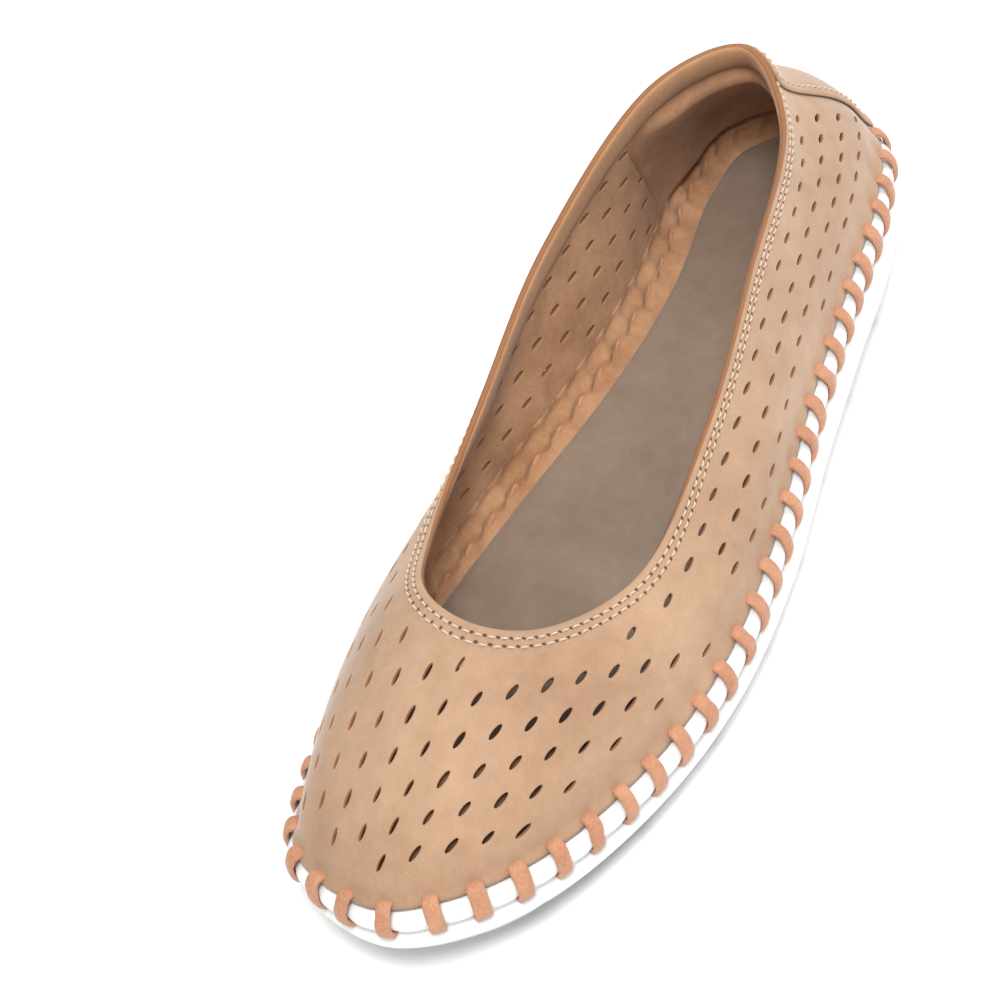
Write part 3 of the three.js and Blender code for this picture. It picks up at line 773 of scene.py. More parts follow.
def shaded_microfibre():
    """Grey microfibre, painted dark where the toes lie: painted shade of the toe box under the vamp."""
    material = nap_material("Grey microfibre", GREY, GREY_DARK, 0.5, 22.0, 0.14 * MM, 0.3)
    tree = material.node_tree
    shader = tree.nodes["Principled BSDF"]
    where = tree.nodes["Texture Coordinate"].outputs["Object"]
    lengthwise = node(tree, "ShaderNodeSeparateXYZ", {"Vector": where}).outputs["X"]
    edge = maths(tree, "MULTIPLY", noise(tree, where, 40.0), 0.02)
    # Painted shade: towards the toe the footbed is mixed almost fully to the dark shade colour.
    toe_box_shade = ramp(tree, maths(tree, "ADD", lengthwise, edge), 0.06, 0.078, 0.0, 0.88)
    base = shader.inputs["Base Color"].links[0].from_socket
    tree.links.new(mix(tree, toe_box_shade, base, TOE_BOX_SHADE), shader.inputs["Base Color"])
    return material


def grain_material(name, colour, dark, cells=1400.0, depth=0.08 * MM):
    """Smooth leather."""
    material, tree, shader, where = new_material(name)
    grain = effect(tree, "grain", {"Place": where, "Colour": colour, "Dark": dark, "Cell scale": cells})
    tree.links.new(grain.outputs["Colour"], shader.inputs["Base Color"])
    tree.links.new(grain.outputs["Roughness"], shader.inputs["Roughness"])
    shader.inputs["Sheen Weight"].default_value = 0.15
    apply_bump(tree, shader, grain.outputs["Height"], depth)
    return material


def moulded_material(name, colour, soil, skin=900.0, depth=0.05 * MM, subsurface=0.1):
    """Moulded foam or rubber."""
    material, tree, shader, where = new_material(name)
    skin_group = effect(tree, "moulded", {"Place": where, "Colour": colour, "Soil": soil, "Skin scale": skin})
    tree.links.new(skin_group.outputs["Colour"], shader.inputs["Base Color"])
    tree.links.new(skin_group.outputs["Roughness"], shader.inputs["Roughness"])
    shader.inputs["Subsurface Weight"].default_value = subsurface
    shader.inputs["Subsurface Scale"].default_value = 2 * MM
    apply_bump(tree, shader, skin_group.outputs["Height"], depth)
    return material


def thread_material():
    """Light sewing thread."""
    material, tree, shader, where = new_material("Sewing thread")
    yarn = effect(tree, "twist", {"Place": where, "Colour": THREAD, "Dark": THREAD_DARK})
    tree.links.new(yarn.outputs["Colour"], shader.inputs["Base Color"])
    shader.inputs["Roughness"].default_value = 0.7
    shader.inputs["Sheen Weight"].default_value = 0.3
    apply_bump(tree, shader, yarn.outputs["Height"], 0.06 * MM)
    return material


nubuck = stitched_nubuck()
plain_nubuck = nap_material("Plain nubuck", NUBUCK, NUBUCK_DARK, 0.45, 26.0)
flesh = nap_material("Flesh side", FLESH, FLESH_DARK, 0.6, 60.0, 0.3 * MM, 0.2)
cut_edge = nap_material("Cut edge", CUT_EDGE, FLESH_DARK, 0.3, 300.0, 0.2 * MM, 0.1)
facing_leather = nap_material("Facing", FACING, NUBUCK_DARK, 0.35, 80.0, 0.1 * MM, 0.2)
lace_leather = grain_material("Lace leather", LACE, LACE_DARK)
sole_white = moulded_material("White foam", WHITE, SOIL)
tread_white = moulded_material("Tread rubber", TREAD_WHITE, SOIL, 1500.0, 0.08 * MM, 0.0)
microfibre = shaded_microfibre()
thread = thread_material()
board = nap_material("Fibre board", FIBRE_BOARD, FIBRE_BOARD_DARK, 0.4, 120.0)
stiffener = nap_material("Stiffener", STIFFENER, STIFFENER_DARK, 0.4, 120.0)
pad_foam = moulded_material("Pad foam", PAD_FOAM, SOIL, 2400.0, 0.2 * MM)

# ---- The perforated upper -------------------------------------------------------------------

SLOT_LENGTH = 4.1 * MM
SLOT_WIDTH = 1.2 * MM
SLOT_PITCH = 7.4 * MM
SIDE_BACK = 8.0 * MM
SIDE_DOWN = 5.2 * MM
ROW_PITCH = 9.4 * MM
ROW_BEND = 12.5
ROW_BEND_Y = -18 * MM
TOP_MARGIN = 9.1 * MM
LOW_MARGIN = 6.3 * MM
FRONT_ROW_X = 253 * MM
FRONT_ROWS = 6
FRONT_ROW_STEP = 6.1 * MM
FRONT_ROW_GROWTH = 0.3 * MM
SIDE_ROWS = 21
ROW_STEPS = 13
QUARTER_X = 185 * MM
CROWDING = 5 * MM
PATCH_CLEARANCE = 0.06

# Spread of the slot sizes, and the fine ring and clear space that the mesh keeps round a slot.
SLOT_SPREAD = 0.06
SLOT_RING = 0.4 * MM
SLOT_CLEARANCE = 2.4 * MM
PATTERN_WIDTH = 90 * MM
PATTERN_HEIGHT = 45 * MM


def row_key(point):
    """Equal along a row of perforations: x + bend * (y - y0)^2."""
    return point[..., 0] + ROW_BEND * (point[..., 1] - ROW_BEND_Y) ** 2


def surface_steps(angle, t):
    """The surface's derivatives by angle and by t, and its normal."""
    across = 2 * FINE_STEP
    along = (upper_point(angle + FINE_STEP, t) - upper_point(angle - FINE_STEP, t)) / across
    up = (upper_point(angle, t + FINE_STEP) - upper_point(angle, t - FINE_STEP)) / across
    return along, up, unit(np.cross(up, along))


def to_pattern(offset, along, up):
    """A small offset on the surface as changes of angle and t."""
    aa, au, uu = (along * along).sum(-1), (along * up).sum(-1), (up * up).sum(-1)
    oa, ou = (offset * along).sum(-1), (offset * up).sum(-1)
    scale = aa * uu - au * au
    return (oa * uu - ou * au) / scale, (ou * aa - oa * au) / scale


def walk_rows(angle, t, side, steps):
    """Places along rows from their starts, one pitch apart.

    On the forefoot a row keeps its key. On the sides it runs down and towards the heel.
    """
    found = [(angle, t)]
    for _ in range(steps):
        for _ in range(4):
            along, up, normal = surface_steps(angle, t)
            point = upper_point(angle, t)
            bend = 2 * ROW_BEND * (point[:, 1] - ROW_BEND_Y)
            slope = np.stack([np.ones_like(bend), bend, np.zeros_like(bend)], 1)
            across = -unit(np.cross(slope, normal)) * side[:, None]
            lengthwise = unit(np.array([1.0, 0, 0]) - normal * normal[:, :1])
            down = -unit(up - lengthwise * (up * lengthwise).sum(1, keepdims=True))
            slanted = SIDE_DOWN * down - SIDE_BACK * lengthwise
            front = smooth(QUARTER_X - 10 * MM, QUARTER_X + 10 * MM, point[:, 0])[:, None]
            heading = front * SLOT_PITCH * across + (1 - front) * slanted
            d_angle, d_t = to_pattern(heading / 4, along, up)
            angle, t = angle + d_angle, t + d_t
        found.append((angle, t))
    return np.array(found)


def slot_places():
    """Angles and t of the perforations, within the margins and clear of the heel strip."""
    rank = np.arange(FRONT_ROWS)
    front_keys = FRONT_ROW_X - (FRONT_ROW_STEP * rank + FRONT_ROW_GROWTH * rank**2)
    levels = np.linspace(0, 1, 400)
    middle_keys = row_key(upper_point(math.pi, levels))
    order = np.argsort(middle_keys)
    front_levels = np.interp(front_keys, middle_keys[order], levels[order])
    starts = [(math.pi, t, side) for t in front_levels for side in (1, -1)]
    back_keys = front_keys[-1] - ROW_PITCH * np.arange(1, SIDE_ROWS + 1)
    outer_edge = np.linspace(0.3, math.pi, 900)
    for side, edge in ((1, outer_edge), (-1, TURN - outer_edge)):
        tenth = np.linalg.norm(upper_point(edge, 0.9) - upper_point(edge, 1), axis=1)
        t = 1 - TOP_MARGIN / tenth * 0.1
        keys = row_key(upper_point(edge, t))
        rising = np.arange(len(keys)) <= keys.argmax()
        edge, t, keys = edge[rising], t[rising], keys[rising]
        inside = back_keys[(back_keys > keys.min()) & (back_keys < keys.max())]
        places = zip(np.interp(inside, keys, edge), np.interp(inside, keys, t))
        starts += [(place, level, side) for place, level in places]
    starts = np.array(starts)
    places = walk_rows(starts[:, 0], starts[:, 1], starts[:, 2], ROW_STEPS)
    places = places.transpose(0, 2, 1)
    on_middle = np.abs(places[0][:, 0] - math.pi) < 1e-6
    keep_start = ~(on_middle & (starts[:, 2] < 0))
    places = np.concatenate([places[0][keep_start], places[1:].reshape(-1, 2)])
    places = places[(places[:, 1] > 0) & (places[:, 1] < 1)]
    fine = np.linspace(0, 1, 40)
    lines = upper_point(places[:, :1], fine[None])
    climbs = np.cumsum(np.linalg.norm(np.diff(lines, axis=1), axis=2), 1)
    climbed = np.concatenate([np.zeros((len(places), 1)), climbs], 1)
    spot = places[:, 1] * 39
    cell = np.minimum(spot.astype(int), 38)
    rows = np.arange(len(places))
    below = climbed[rows, cell] + (spot - cell) * (climbed[rows, cell + 1] - climbed[rows, cell])
    above = climbed[:, -1] - below
    from_heel = np.minimum(places[:, 0], TURN - places[:, 0])
    keep = (above > TOP_MARGIN - 0.6 * MM) & (below > LOW_MARGIN) & (from_heel > PATCH_REACH + PATCH_CLEARANCE)
    places = places[keep]
    spots = upper_point(places[:, 0], places[:, 1])
    crowded = np.linalg.norm(spots[:, None] - spots[None], axis=2) < CROWDING
    return places[~np.tril(crowded, -1).any(1)]


def slot_outlines(places, grow, count=14):
    """Pointed ellipses round the places, in (angle, t), with their long axis along the shoe."""
    angle, t = places[:, 0], places[:, 1]
    along, up, normal = surface_steps(angle, t)
    front = smooth(QUARTER_X - 10 * MM, QUARTER_X + 15 * MM, upper_point(angle, t)[:, 0])
    aim = np.stack([np.ones_like(front), -0.22 * front, np.zeros_like(front)], 1)
    lengthwise = unit(aim - normal * (aim * normal).sum(1, keepdims=True))
    sideways = np.cross(normal, lengthwise)
    turn = -np.arange(count) / count * TURN
    size = slot_sizes[: len(places), None]
    offset = (
        lengthwise[:, None] * (np.cos(turn) * (SLOT_LENGTH / 2 * size + grow))[..., None]
        + sideways[:, None] * (np.sin(turn) * (SLOT_WIDTH / 2 * size + grow))[..., None]
    )
    d_angle, d_t = to_pattern(offset, along[:, None], up[:, None])
    return np.stack([angle[:, None] + d_angle, t[:, None] + d_t], 2)


slot_sizes = 1 + SLOT_SPREAD * rng.standard_normal(2000)


def looks_inward(mesh, middle):
    """Whether an open sheet's faces turn towards its middle, each weighed by its area."""
    count = len(mesh.polygons)
    centres, normals, areas = np.zeros(3 * count), np.zeros(3 * count), np.zeros(count)
    mesh.polygons.foreach_get("center", centres)
    mesh.polygons.foreach_get("normal", normals)
    mesh.polygons.foreach_get("area", areas)
    outwards = ((centres.reshape(-1, 3) - middle) * normals.reshape(-1, 3)).sum(1)
    return (outwards * areas).sum() < 0


def perforated_upper():
    """The upper with its slots cut through: a flat pattern in (angle, t), filled with
    triangles round the slots, laid on the surface and given its thickness."""
    places = slot_places()
    inner = slot_outlines(places, 0.0)
    outer = slot_outlines(places, SLOT_RING)
    x, y = inner[..., 0], inner[..., 1]
    clockwise = (x * np.roll(y, -1, 1) - np.roll(x, -1, 1) * y).sum(1) < 0
    inner[clockwise] = inner[clockwise, ::-1]
    outer[clockwise] = outer[clockwise, ::-1]
    angles = np.linspace(0, TURN, 301)
    bands = ((-0.008, 0.17, 10), (0.21, 0.9, 14), (0.93, 1, 4))
    levels = np.concatenate([np.linspace(*band) for band in bands])
    grid = np.stack(np.meshgrid(angles, levels, indexing="ij"), -1).reshape(-1, 2)
    flat = np.array([PATTERN_WIDTH, PATTERN_HEIGHT])
    centres = places * flat
    spread = np.abs(grid[:, None, :] * flat - centres[None]).max(2).min(1)
    on_border = (grid[:, 1] < 0) | (grid[:, 1] > 0.999)
    on_seam = (grid[:, 0] < 0.001) | (grid[:, 0] > TURN - 0.001)
    grid = grid[(spread > SLOT_CLEARANCE) | on_border | on_seam]
    slots = np.concatenate([inner.reshape(-1, 2), outer.reshape(-1, 2)])
    points = np.concatenate([slots, grid])
    count = inner.shape[1]
    loops = np.arange(2 * len(places) * count).reshape(-1, count)
    edges = np.stack([loops, np.roll(loops, -1, axis=1)], -1).reshape(-1, 2)
    flat_points = list(map(Vector, (points * flat).tolist()))
    cut = delaunay_2d_cdt(flat_points, edges.tolist(), loops[: len(places)].tolist(), 0, 1e-7)
    verts, faces, owners = cut[0], cut[2], cut[5]
    pattern = np.array([tuple(v) for v in verts]) / flat
    kept = [face for face, owner in zip(faces, owners) if not owner]
    top = top_edge.at(pattern[:, 0])
    edge_travel = travel_along(top_edge.at(travel_angles))
    along = np.interp(pattern[:, 0], travel_angles, edge_travel)
    below = np.linalg.norm(upper_point(pattern[:, 0], pattern[:, 1]) - top, axis=1)
    places_uv = np.stack([along, below], 1)
    shape = soft_point(pattern[:, 0], np.minimum(pattern[:, 1], 1), 0.0)
    piece = make_object("upper_leather", shape, kept, places_uv)
    sewn = bmesh.new()
    sewn.from_mesh(piece.data)
    bmesh.ops.remove_doubles(sewn, verts=sewn.verts, dist=0.02 * MM)
    bmesh.ops.recalc_face_normals(sewn, faces=sewn.faces)
    sewn.to_mesh(piece.data)
    sewn.free()
    if looks_inward(piece.data, shape.mean(0) + SHIFT):
        piece.data.flip_normals()
    solid = piece.modifiers.new("Thickness", "SOLIDIFY")
    solid.thickness = LEATHER
    solid.offset = -1
    solid.material_offset = 1
    solid.material_offset_rim = 2
    for material in (nubuck, flesh, cut_edge):
        piece.data.materials.append(material)
    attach(piece, "root")
    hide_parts("upper")
    return piece


# ---- Layers on and in the upper -------------------------------------------------------------


def layer_sheet(name, angles, levels, near, far, edge=0.06):
    """A thin layer over part of the upper, thinned towards its borders."""
    u = np.linspace(0, 1, len(angles))[:, None]
    v = np.linspace(0, 1, len(levels))[None, :]
    border = np.minimum(np.minimum(u, 1 - u) * 1.5, np.minimum(v, 1 - v))
    thin = smooth(0, edge, border)
    middle = (near + far) / 2
    a, t = angles[:, None], levels[None, :]
    spread = (far - near) / 2 * (0.25 + 0.75 * thin)
    front = soft_point(a, t, middle + spread)
    back = soft_point(a, t, middle - spread)
    points = np.concatenate([front, back[:, ::-1]], 1)
    return capped_strip(name, points)


def capped_strip(name, points):
    """Closed sections whose two ends are closed by a strip of quads."""
    stations, places = points.shape[:2]
    faces = grid_faces(stations, places, wrap_columns=True)
    half = places // 2
    near = np.arange(half - 1)
    strip = np.stack([near, near + 1, places - 2 - near, places - 1 - near], -1)
    ends = np.concatenate([strip, strip + (stations - 1) * places])
    return outward(make_object(name, points, np.concatenate([faces, ends])))


def heel_patch():
    """The plain strip over the back."""
    angles = np.linspace(-PATCH_REACH, PATCH_REACH, 61)
    levels = np.linspace(0.0, 0.985, 41)
    piece = layer_sheet("heel_strip", angles, levels, 0.15 * MM, PATCH_THICKNESS, 0.035)
    finish_piece(piece, plain_nubuck, "nubuck", "heel_patch")


def heel_lining():
    """The lining over the heel counter: it lies on the leather at its borders and swells
    over the counter between them."""
    reach = TURN / 64
    u = np.linspace(-9.5, 9.5, 77)[:, None]
    t = np.linspace(0.03, 0.83, 33)[None, :]
    over = smooth(0, 2, 9.2 - np.abs(u)) * smooth(0.03, 0.12, t) * smooth(0, 0.07, 0.82 - t)
    depth = -(1.45 + 2.75 * over) * MM
    front = soft_point(u * reach, t, depth)
    back = soft_point(u * reach, t, depth + 0.5 * MM)
    piece = capped_strip("heel_lining_skin", np.concatenate([front, back[:, ::-1]], 1))
    finish_piece(piece, flesh, "flesh_leather", "heel_lining")


def topline_facing():
    """The facing strip that lines the top edge, with a rounded lower border."""
    angles = even_loop(300)[:, None]
    levels = np.array([0.84, 0.845, 0.86, 0.9, 0.94, 0.97, 0.985, 0.998])[None, :]
    front = soft_point(angles, levels, np.full((1, 8), -1.3 * MM))
    inner = np.array([-1.45, -1.75, -1.95, -2.05, -2.05, -1.95, -1.8, -1.45])[None] * MM
    back = soft_point(angles, levels, inner)
    piece = ring_object("topline_facing", np.concatenate([front, back[:, ::-1]], 1))
    finish_piece(piece, facing_leather, "flesh_leather", "topline_tape")


def inner_margin():
    """The leather inside the rim, from the wall down to the footbed.

    It bulges over the lace, whose runs climb from one hole to the next: a run's middle lies
    at a share 0.265 + 0.0875 per millimetre of height past its strap's turn.
    """
    angles = even_loop(992)[:, None]
    inset = inset_at(feather.at(angles)[..., 0])
    part = np.linspace(0, 1, 15)[None, :]
    up = (5.2 - 8.6 * part**0.9) * MM
    wall = smooth(0, 0.42, part)
    floor = smooth(0.55, 1, part) ** 1.5
    out = -(1.45 * MM) - 2.6 * MM * wall - (inset + 1.4 * MM - 4.05 * MM) * floor
    turns = turns_at(angles) - (0.265 + 87.5 * up)
    off = (np.mod(turns + 0.5, 1) - 0.5) * PITCH
    ridge = np.exp(-((off / (1.9 * MM)) ** 2)) * np.sin(math.pi * np.clip(part, 0, 1)) ** 0.8
    out = out - 1.25 * MM * ridge * (1 - 0.6 * floor)
    up = up + 0.7 * MM * ridge * floor
    share = feather.at(angles)[..., 0] / FEATHER_LENGTH
    height = np.clip(up, 0, None) / (3 * section_value(LOW_HANDLE, share))
    on_wall = soft_point(angles, height, -1.4 * MM - 0.9 * MM * ridge)
    free = smooth(0.15, 0.5, part)[..., None]
    near = on_wall * (1 - free) + rim_point(angles, out, up) * free
    far_wall = soft_point(angles, height, -1.2 * MM)
    far_rim = rim_point(angles, out + 0.5 * MM * (1 - floor), up - 0.6 * MM * floor)
    far = far_wall * (1 - free) + far_rim * free
    piece = ring_object("inner_margin", np.concatenate([near, far[:, ::-1]], 1))
    finish_piece(piece, flesh, "flesh_leather")


# ---- Sewing ---------------------------------------------------------------------------------


def stitch_row(name, middles, along, normals, length, radius):
    """Short stitches, each a thread that rises from one needle hole and dives into the next."""
    steps, sides = 9, 7
    u = np.linspace(0, 1, steps)
    turn = np.arange(sides) / sides * TURN
    rise = radius * (1.5 * np.sin(math.pi * u) ** 0.6 - 0.75)
    width = radius * (0.55 + 0.45 * np.sin(math.pi * u))
    side = np.cross(along, normals)
    spine = (
        middles[:, None]
        + along[:, None] * ((u - 0.5) * length)[None, :, None]
        + normals[:, None] * rise[None, :, None]
    )
    ring = (
        side[:, None, None] * (np.cos(turn)[None, None, :, None] * width[None, :, None, None])
        + normals[:, None, None] * (np.sin(turn)[None, None, :, None] * width[None, :, None, None])
    )
    points = spine[:, :, None] + ring
    quads = grid_faces(steps, sides, wrap_columns=True)
    shift = (np.arange(len(middles)) * steps * sides)[:, None, None]
    faces = (quads[None] + shift).reshape(-1, 4).tolist()
    ends = np.concatenate([np.arange(sides)[None], (steps - 1) * sides + np.arange(sides)[None]])
    faces += (ends[None] + shift).reshape(-1, sides).tolist()
    return outward(make_object(name, points, faces), merge=1e-7)


def topline_stitches(name, depth, phase, slot_node):
    """A row of stitches at a depth below the top edge."""
    travel = travel_along(top_edge.at(travel_angles))
    count = int(travel[-1] / STITCH_PITCH)
    at = np.interp((np.arange(count) + phase) * STITCH_PITCH, travel, travel_angles)
    t = 1 - depth / (3 * section_value(HIGH_HANDLE, feather.at(at)[:, 0] / FEATHER_LENGTH))
    from_heel = np.minimum(at, TURN - at)
    out = np.where(from_heel < PATCH_REACH, PATCH_THICKNESS, 0.0) + 0.12 * MM
    middles = soft_point(at, t, out)
    along = unit(upper_point(at + STEP, t) - upper_point(at - STEP, t))
    along = unit(along + 0.04 * rng.standard_normal(along.shape))
    piece = stitch_row(name, middles, along, upper_normal(at, t), STITCH_LENGTH, THREAD_RADIUS)
    finish_piece(piece, thread, "thread", slot_node)


def patch_stitches(name, side, slot_node):
    """The seam down one edge of the heel patch."""
    angle = side * (PATCH_REACH - SEAM_INSET)
    levels = np.linspace(0.08, 0.94, 400)
    travel = travel_along(soft_point(angle, levels, 1.4 * MM))
    count = int(travel[-1] / STITCH_PITCH)
    t = np.interp((np.arange(count) + 0.5) * STITCH_PITCH, travel, levels)
    middles = soft_point(angle, t, 1.42 * MM)
    up = unit(upper_point(angle, t + STEP) - upper_point(angle, t - STEP))
    piece = stitch_row(name, middles, up, upper_normal(angle, t), STITCH_LENGTH, THREAD_RADIUS)
    finish_piece(piece, thread, "thread", slot_node)


# ---- The lace -------------------------------------------------------------------------------

# One turn: share of the pitch, distance out and height from the feather line, in millimetres.
LACE_TURN = [
    (0.00, -1.6, 1.0),
    (0.02, -0.3, 1.75),
    (0.035, 0.9, 1.5),
    (0.045, 1.95, 0.3),
    (0.055, 2.6, -1.5),
    (0.065, 2.75, -3.4),
    (0.075, 2.3, -5.1),
    (0.085, 1.2, -6.3),
    (0.12, -1.2, -6.8),
    (0.20, -3.6, -5.4),
    (0.30, -4.4, -2.6),
    (0.60, -4.2, -1.0),
    (0.85, -3.5, 0.4),
]
LACE_CENTRE = (-0.9 * MM, -2.8 * MM)


def lace():
    """One rounded strap wound round the rim, a smooth curve through the points of each turn."""
    turns = np.array([(share, out * MM, up * MM) for share, out, up in LACE_TURN])
    count = len(turns)
    jitter = 0.035 * rng.standard_normal(STITCH_COUNT)
    whole = np.tile(turns, (STITCH_COUNT, 1))
    number = np.repeat(np.arange(STITCH_COUNT), count)
    slant = np.where((whole[:, 2] < -1 * MM) & (whole[:, 1] > 0), jitter[number], 0)
    whole[:, 0] += number + 0.5 + slant
    path = open_spline(whole, len(whole) * 4)
    angle = angle_at_turns(path[:, 0])
    middle = rim_point(angle, path[:, 1], path[:, 2])
    forward = unit(np.gradient(middle, axis=0))
    away = feather.normal(angle) * (path[:, 1] - LACE_CENTRE[0])[:, None]
    away[:, 2] = path[:, 2] - LACE_CENTRE[1]
    side = unit(np.cross(forward, away))
    face = np.cross(side, forward)
    turn = np.arange(12) / 12 * TURN
    round_x = np.sign(np.cos(turn)) * np.abs(np.cos(turn)) ** 0.6
    round_y = np.sign(np.sin(turn)) * np.abs(np.sin(turn)) ** 0.8
    width = LACE_WIDTH * (1 + 0.06 * np.sin(path[:, 0] * 5.1) + 0.04 * np.sin(path[:, 0] * 11.7))
    points = (
        middle[:, None]
        + side[:, None] * (round_x[None] * width[:, None] / 2)[..., None]
        + face[:, None] * (round_y[None] * LACE_THICKNESS / 2)[..., None]
    )
    finish_piece(capped_object("lace_strap", points), lace_leather, "lace_leather", "lace")


# ---- The sole -------------------------------------------------------------------------------


def side_out(x, height):
    """How far out the sole's side lies at a height above the ground."""
    rise = np.minimum(1, height / bevel_height_at(x))
    return SIDEWALL_OUT - BEVEL_IN * (1 - rise)


def midsole():
    """The white wedge: cup wall, puffed bead, groove, soft shoulder, side and bevel."""
    angles = even_loop(744)[:, None]
    x = feather.at(angles)[..., 0]
    pinch = pinch_at(angles)
    radius = BEAD_RADIUS + 0.42 * MM * (1 - pinch) - 0.15 * MM * pinch
    turn = np.radians(np.linspace(100, -62, 13))[None, :]
    bead = rim_point(angles, BEAD_OUT + radius * np.cos(turn), -BEAD_DROP + radius * np.sin(turn))
    wall = [
        rim_point(angles, -RIM_WIDTH, CUP_FLOOR),
        rim_point(angles, -RIM_WIDTH, -1.2 * MM),
        rim_point(angles, -RIM_WIDTH + 0.3 * MM, -0.5 * MM),
    ]
    groove = [
        rim_point(angles, GROOVE_OUT, -5.7 * MM),
        rim_point(angles, GROOVE_OUT - 0.2 * MM, -6.3 * MM),
        rim_point(angles, GROOVE_OUT - 0.1 * MM, -6.8 * MM),
        rim_point(angles, SIDEWALL_OUT - 0.8 * MM, -7.15 * MM),
        rim_point(angles, SIDEWALL_OUT - 0.25 * MM, -7.5 * MM),
        rim_point(angles, SIDEWALL_OUT, -8.2 * MM),
    ]
    shoulder = stack_at(x) - 8.2 * MM
    lift = ground_at(x)
    bevel = bevel_height_at(x)
    side = []
    for share in (0.2, 0.4, 0.6, 0.8, 0.93):
        height = shoulder - lift + (bevel - shoulder + lift) * share
        bulge = 0.35 * MM * np.sin(math.pi * share)
        side.append(ground_point(angles, SIDEWALL_OUT + bulge, height))
    floor = OUTSOLE_THICKNESS + GAP
    for share in (0.08, 0.3, 0.65, 1.0):
        height = bevel + (floor - bevel) * share
        side.append(ground_point(angles, side_out(x, height) - 0.12 * MM * (share < 0.2), height))
    sides = np.concatenate([*wall, bead, *groove, *side], 1)
    finish_piece(plate_object("white_sole", sides, 6), sole_white, "sole_white", "midsole")


FLEX_PITCH = 27 * MM
FLEX_FIRST = 20 * MM
FLEX_COUNT = 9
FLEX_DEPTH = 3 * MM


def tread():
    """The tread, with flex grooves across it that show as notches along its edge."""
    centres = FLEX_FIRST + FLEX_PITCH * np.arange(FLEX_COUNT)
    borders = (centres[:, None] + np.array([-1.5, -1.2, -0.9, 0.9, 1.2, 1.5])[None] * MM).ravel()
    at_borders = np.arccos(np.clip(1 - 2 * borders / FEATHER_LENGTH, -1, 1))
    half = np.unique(np.concatenate([np.linspace(0, math.pi, 181), at_borders]))
    angles = np.concatenate([half, TURN - half[-2:0:-1]])[:, None]
    x = feather.at(angles)[..., 0]
    near = np.abs(x - centres[None, :]).min(1, keepdims=True)
    groove = FLEX_DEPTH * (1 - smooth(0.9 * MM, 1.5 * MM, near))
    top = OUTSOLE_THICKNESS
    sides = np.concatenate(
        [
            ground_point(angles, side_out(x, top), top),
            ground_point(angles, side_out(x, 0.6 * top), np.maximum(0.6 * top, groove)),
            ground_point(angles, side_out(x, 0.25 * MM), np.maximum(0.35 * MM, groove)),
            ground_point(angles, side_out(x, 0) - 0.5 * MM, groove),
        ],
        1,
    )
    finish_piece(plate_object("tread_sole", sides, 10), tread_white, "tread_rubber", "outsole")


def footbed():
    """The grey cover: a soft sheet with a rounded edge, a shallow heel cup and faint waves."""
    stations, across = 181, 41
    angle = np.linspace(0.02, math.pi - 0.02, stations)[:, None]
    share = np.linspace(-1, 1, across)[None, :]
    x = feather.at(angle)[..., 0]
    inset = inset_at(x)
    left = rim_point(angle, -inset, 0)
    right = rim_point(TURN - angle, -inset, 0)
    half = (share + 1) / 2
    flat = right + (left - right) * half[..., None]
    past = np.maximum(0, np.abs(share) - 0.93) / 0.07
    round_edge = 1.0 * MM * (1 - np.sqrt(np.clip(1 - past**2, 0, 1)))
    ends = 1.0 * MM * (1 - smooth(0, 0.16, np.minimum(angle, math.pi - angle)))
    wave = 0.25 * MM * np.sin(x * 60 + 2 * share) * (1 - share**2)
    cup = -0.9 * MM * (1 - share**2) * (1 - smooth(0.05, 0.3, x / FEATHER_LENGTH))
    raise_edge = 0.5 * MM * share**4
    top = flat.copy()
    top[..., 2] += -FOOTBED_DROP - round_edge - ends + wave + cup + raise_edge
    bottom = flat.copy()
    bottom[..., 2] -= FOOTBED_DROP + COVER_THICKNESS + 0.8 * MM
    piece = capped_strip("footbed_sheet", np.concatenate([top, bottom[:, ::-1]], 1))
    finish_piece(piece, microfibre, "microfibre", "footbed_cover")


# ---- Build ----------------------------------------------------------------------------------

perforated_upper()
heel_patch()
heel_lining()
topline_facing()
inner_margin()
topline_stitches("topline_stitches_edge", STITCH_ROWS[0], 0.5, "topline_thread_edge")
topline_stitches("topline_stitches_inset", STITCH_ROWS[1], 0.0, "topline_thread_inset")
patch_stitches("patch_stitches_outer", 1, "heel_patch_thread_outer")
patch_stitches("patch_stitches_inner", -1, "heel_patch_thread_inner")
lace()
midsole()
tread()
footbed()

# The hidden CAD pieces that are carried over, with their materials.
KEPT = {
    "insole_board": board,
    "heel_pad": pad_foam,
    "footbed_foam": pad_foam,
    "toe_puff": stiffener,
    "heel_counter": stiffener,
}
for name, material in KEPT.items():
    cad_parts[name].data.materials.clear()
    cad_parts[name].data.materials.append(material)

# ---- Floor, light and camera ----------------------------------------------------------------


def make_floor():
    """A pale floor under the sole."""
    size = 3.0
    corners = np.array([(-1, -1), (1, -1), (1, 1), (-1, 1)]) * size
    points = np.concatenate([corners, np.full((4, 1), cad_box[0][2] - 0.2 * MM)], 1) - SHIFT
    floor = make_object("floor", points, np.array([[0, 1, 2, 3]]))
    material, tree, shader, where = new_material("Floor")
    mottle = noise(tree, where, 3.0, 4.0)
    tree.links.new(mix(tree, mottle, FLOOR_PALE, FLOOR_GREY), shader.inputs["Base Color"])
    shader.inputs["Roughness"].default_value = 0.9
    floor.data.materials.append(material)


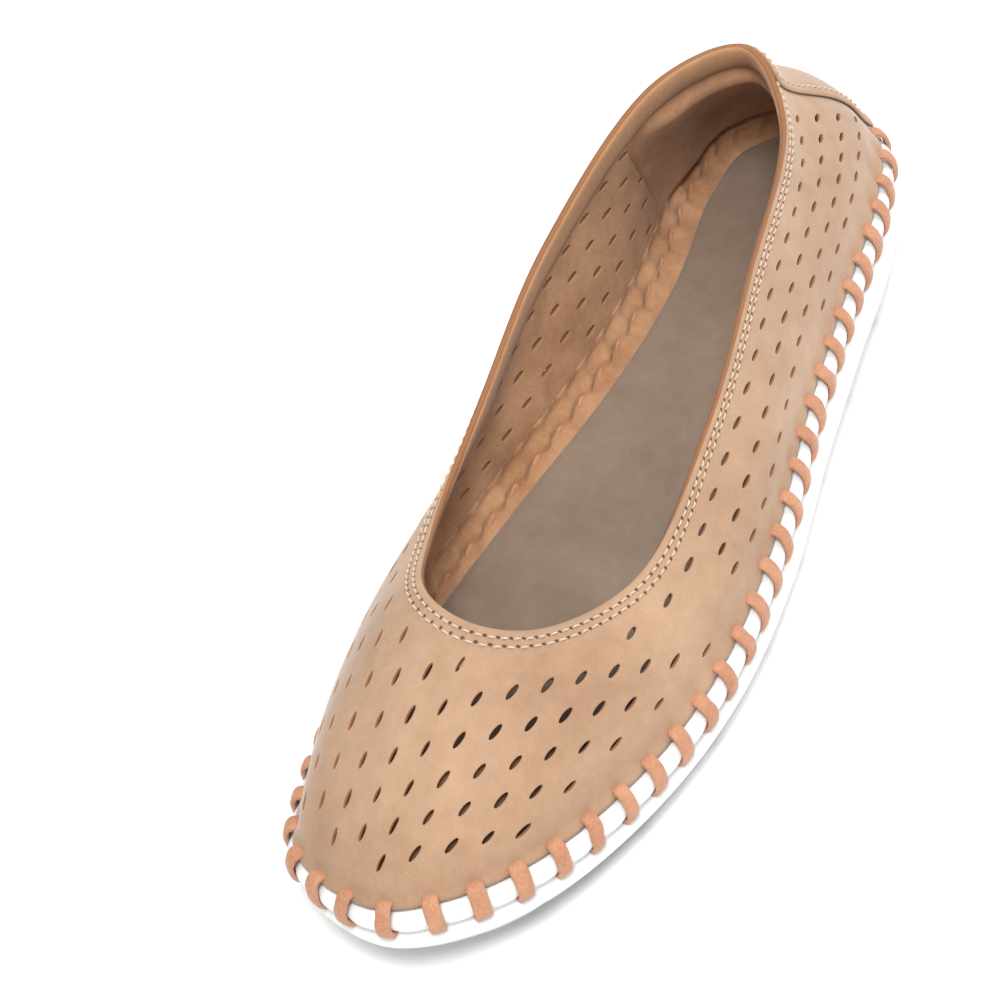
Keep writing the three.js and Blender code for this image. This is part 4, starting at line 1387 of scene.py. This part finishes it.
def area_light(name, place, aim, size, power, colour=(1, 1, 1)):
    """A soft square light aimed at a point."""
    data = bpy.data.lights.new(name, "AREA")
    data.size = size
    data.energy = power
    data.color = colour
    lamp = bpy.data.objects.new(name, data)
    lamp.location = place
    lamp.rotation_euler = (Vector(aim) - Vector(place)).to_track_quat("-Z", "Y").to_euler()
    bpy.context.scene.collection.objects.link(lamp)


def make_world(strength):
    """An even white sky."""
    world = bpy.data.worlds.new("Studio")
    world.use_nodes = True
    world.node_tree.nodes["Background"].inputs["Color"].default_value = (1, 1, 1, 1)
    world.node_tree.nodes["Background"].inputs["Strength"].default_value = strength
    bpy.context.scene.world = world


CAMERA_AIM = (0.0219, -0.0195, 0.035)
CAMERA_ANGLES = (38.08, 41.85, -19.39)
CAMERA_DISTANCE = 0.6123
CAMERA_LENS = 98.4
CAMERA_SHIFT = (-0.0048, -0.0085)


def make_camera():
    """The camera looks down at the toe from the front and the outer side, a little rolled."""
    aim = Vector(CAMERA_AIM)
    azimuth, elevation, roll = map(math.radians, CAMERA_ANGLES)
    back = Vector((
        math.cos(elevation) * math.cos(azimuth),
        math.cos(elevation) * math.sin(azimuth),
        math.sin(elevation),
    ))
    level = (-back).cross(Vector((0, 0, 1))).normalized()
    up = level.cross(-back)
    right = math.cos(roll) * level + math.sin(roll) * up
    above = back.cross(right)
    data = bpy.data.cameras.new("Camera")
    data.lens = CAMERA_LENS
    data.sensor_width = 36
    data.shift_x, data.shift_y = CAMERA_SHIFT
    camera = bpy.data.objects.new("Camera", data)
    turned = Matrix((right, above, back)).transposed().to_4x4()
    camera.matrix_world = Matrix.Translation(aim + back * CAMERA_DISTANCE) @ turned
    bpy.context.scene.collection.objects.link(camera)
    bpy.context.scene.camera = camera


make_floor()
make_world(0.58)
area_light("Key", (0.5, 0.35, 1.15), (0.03, 0, 0.03), 0.45, 15, (1, 0.985, 0.96))
area_light("Back", (-0.9, 0.4, 0.8), (0, 0, 0.03), 0.9, 6)
bpy.context.scene.view_settings.view_transform = "Standard"
make_camera()
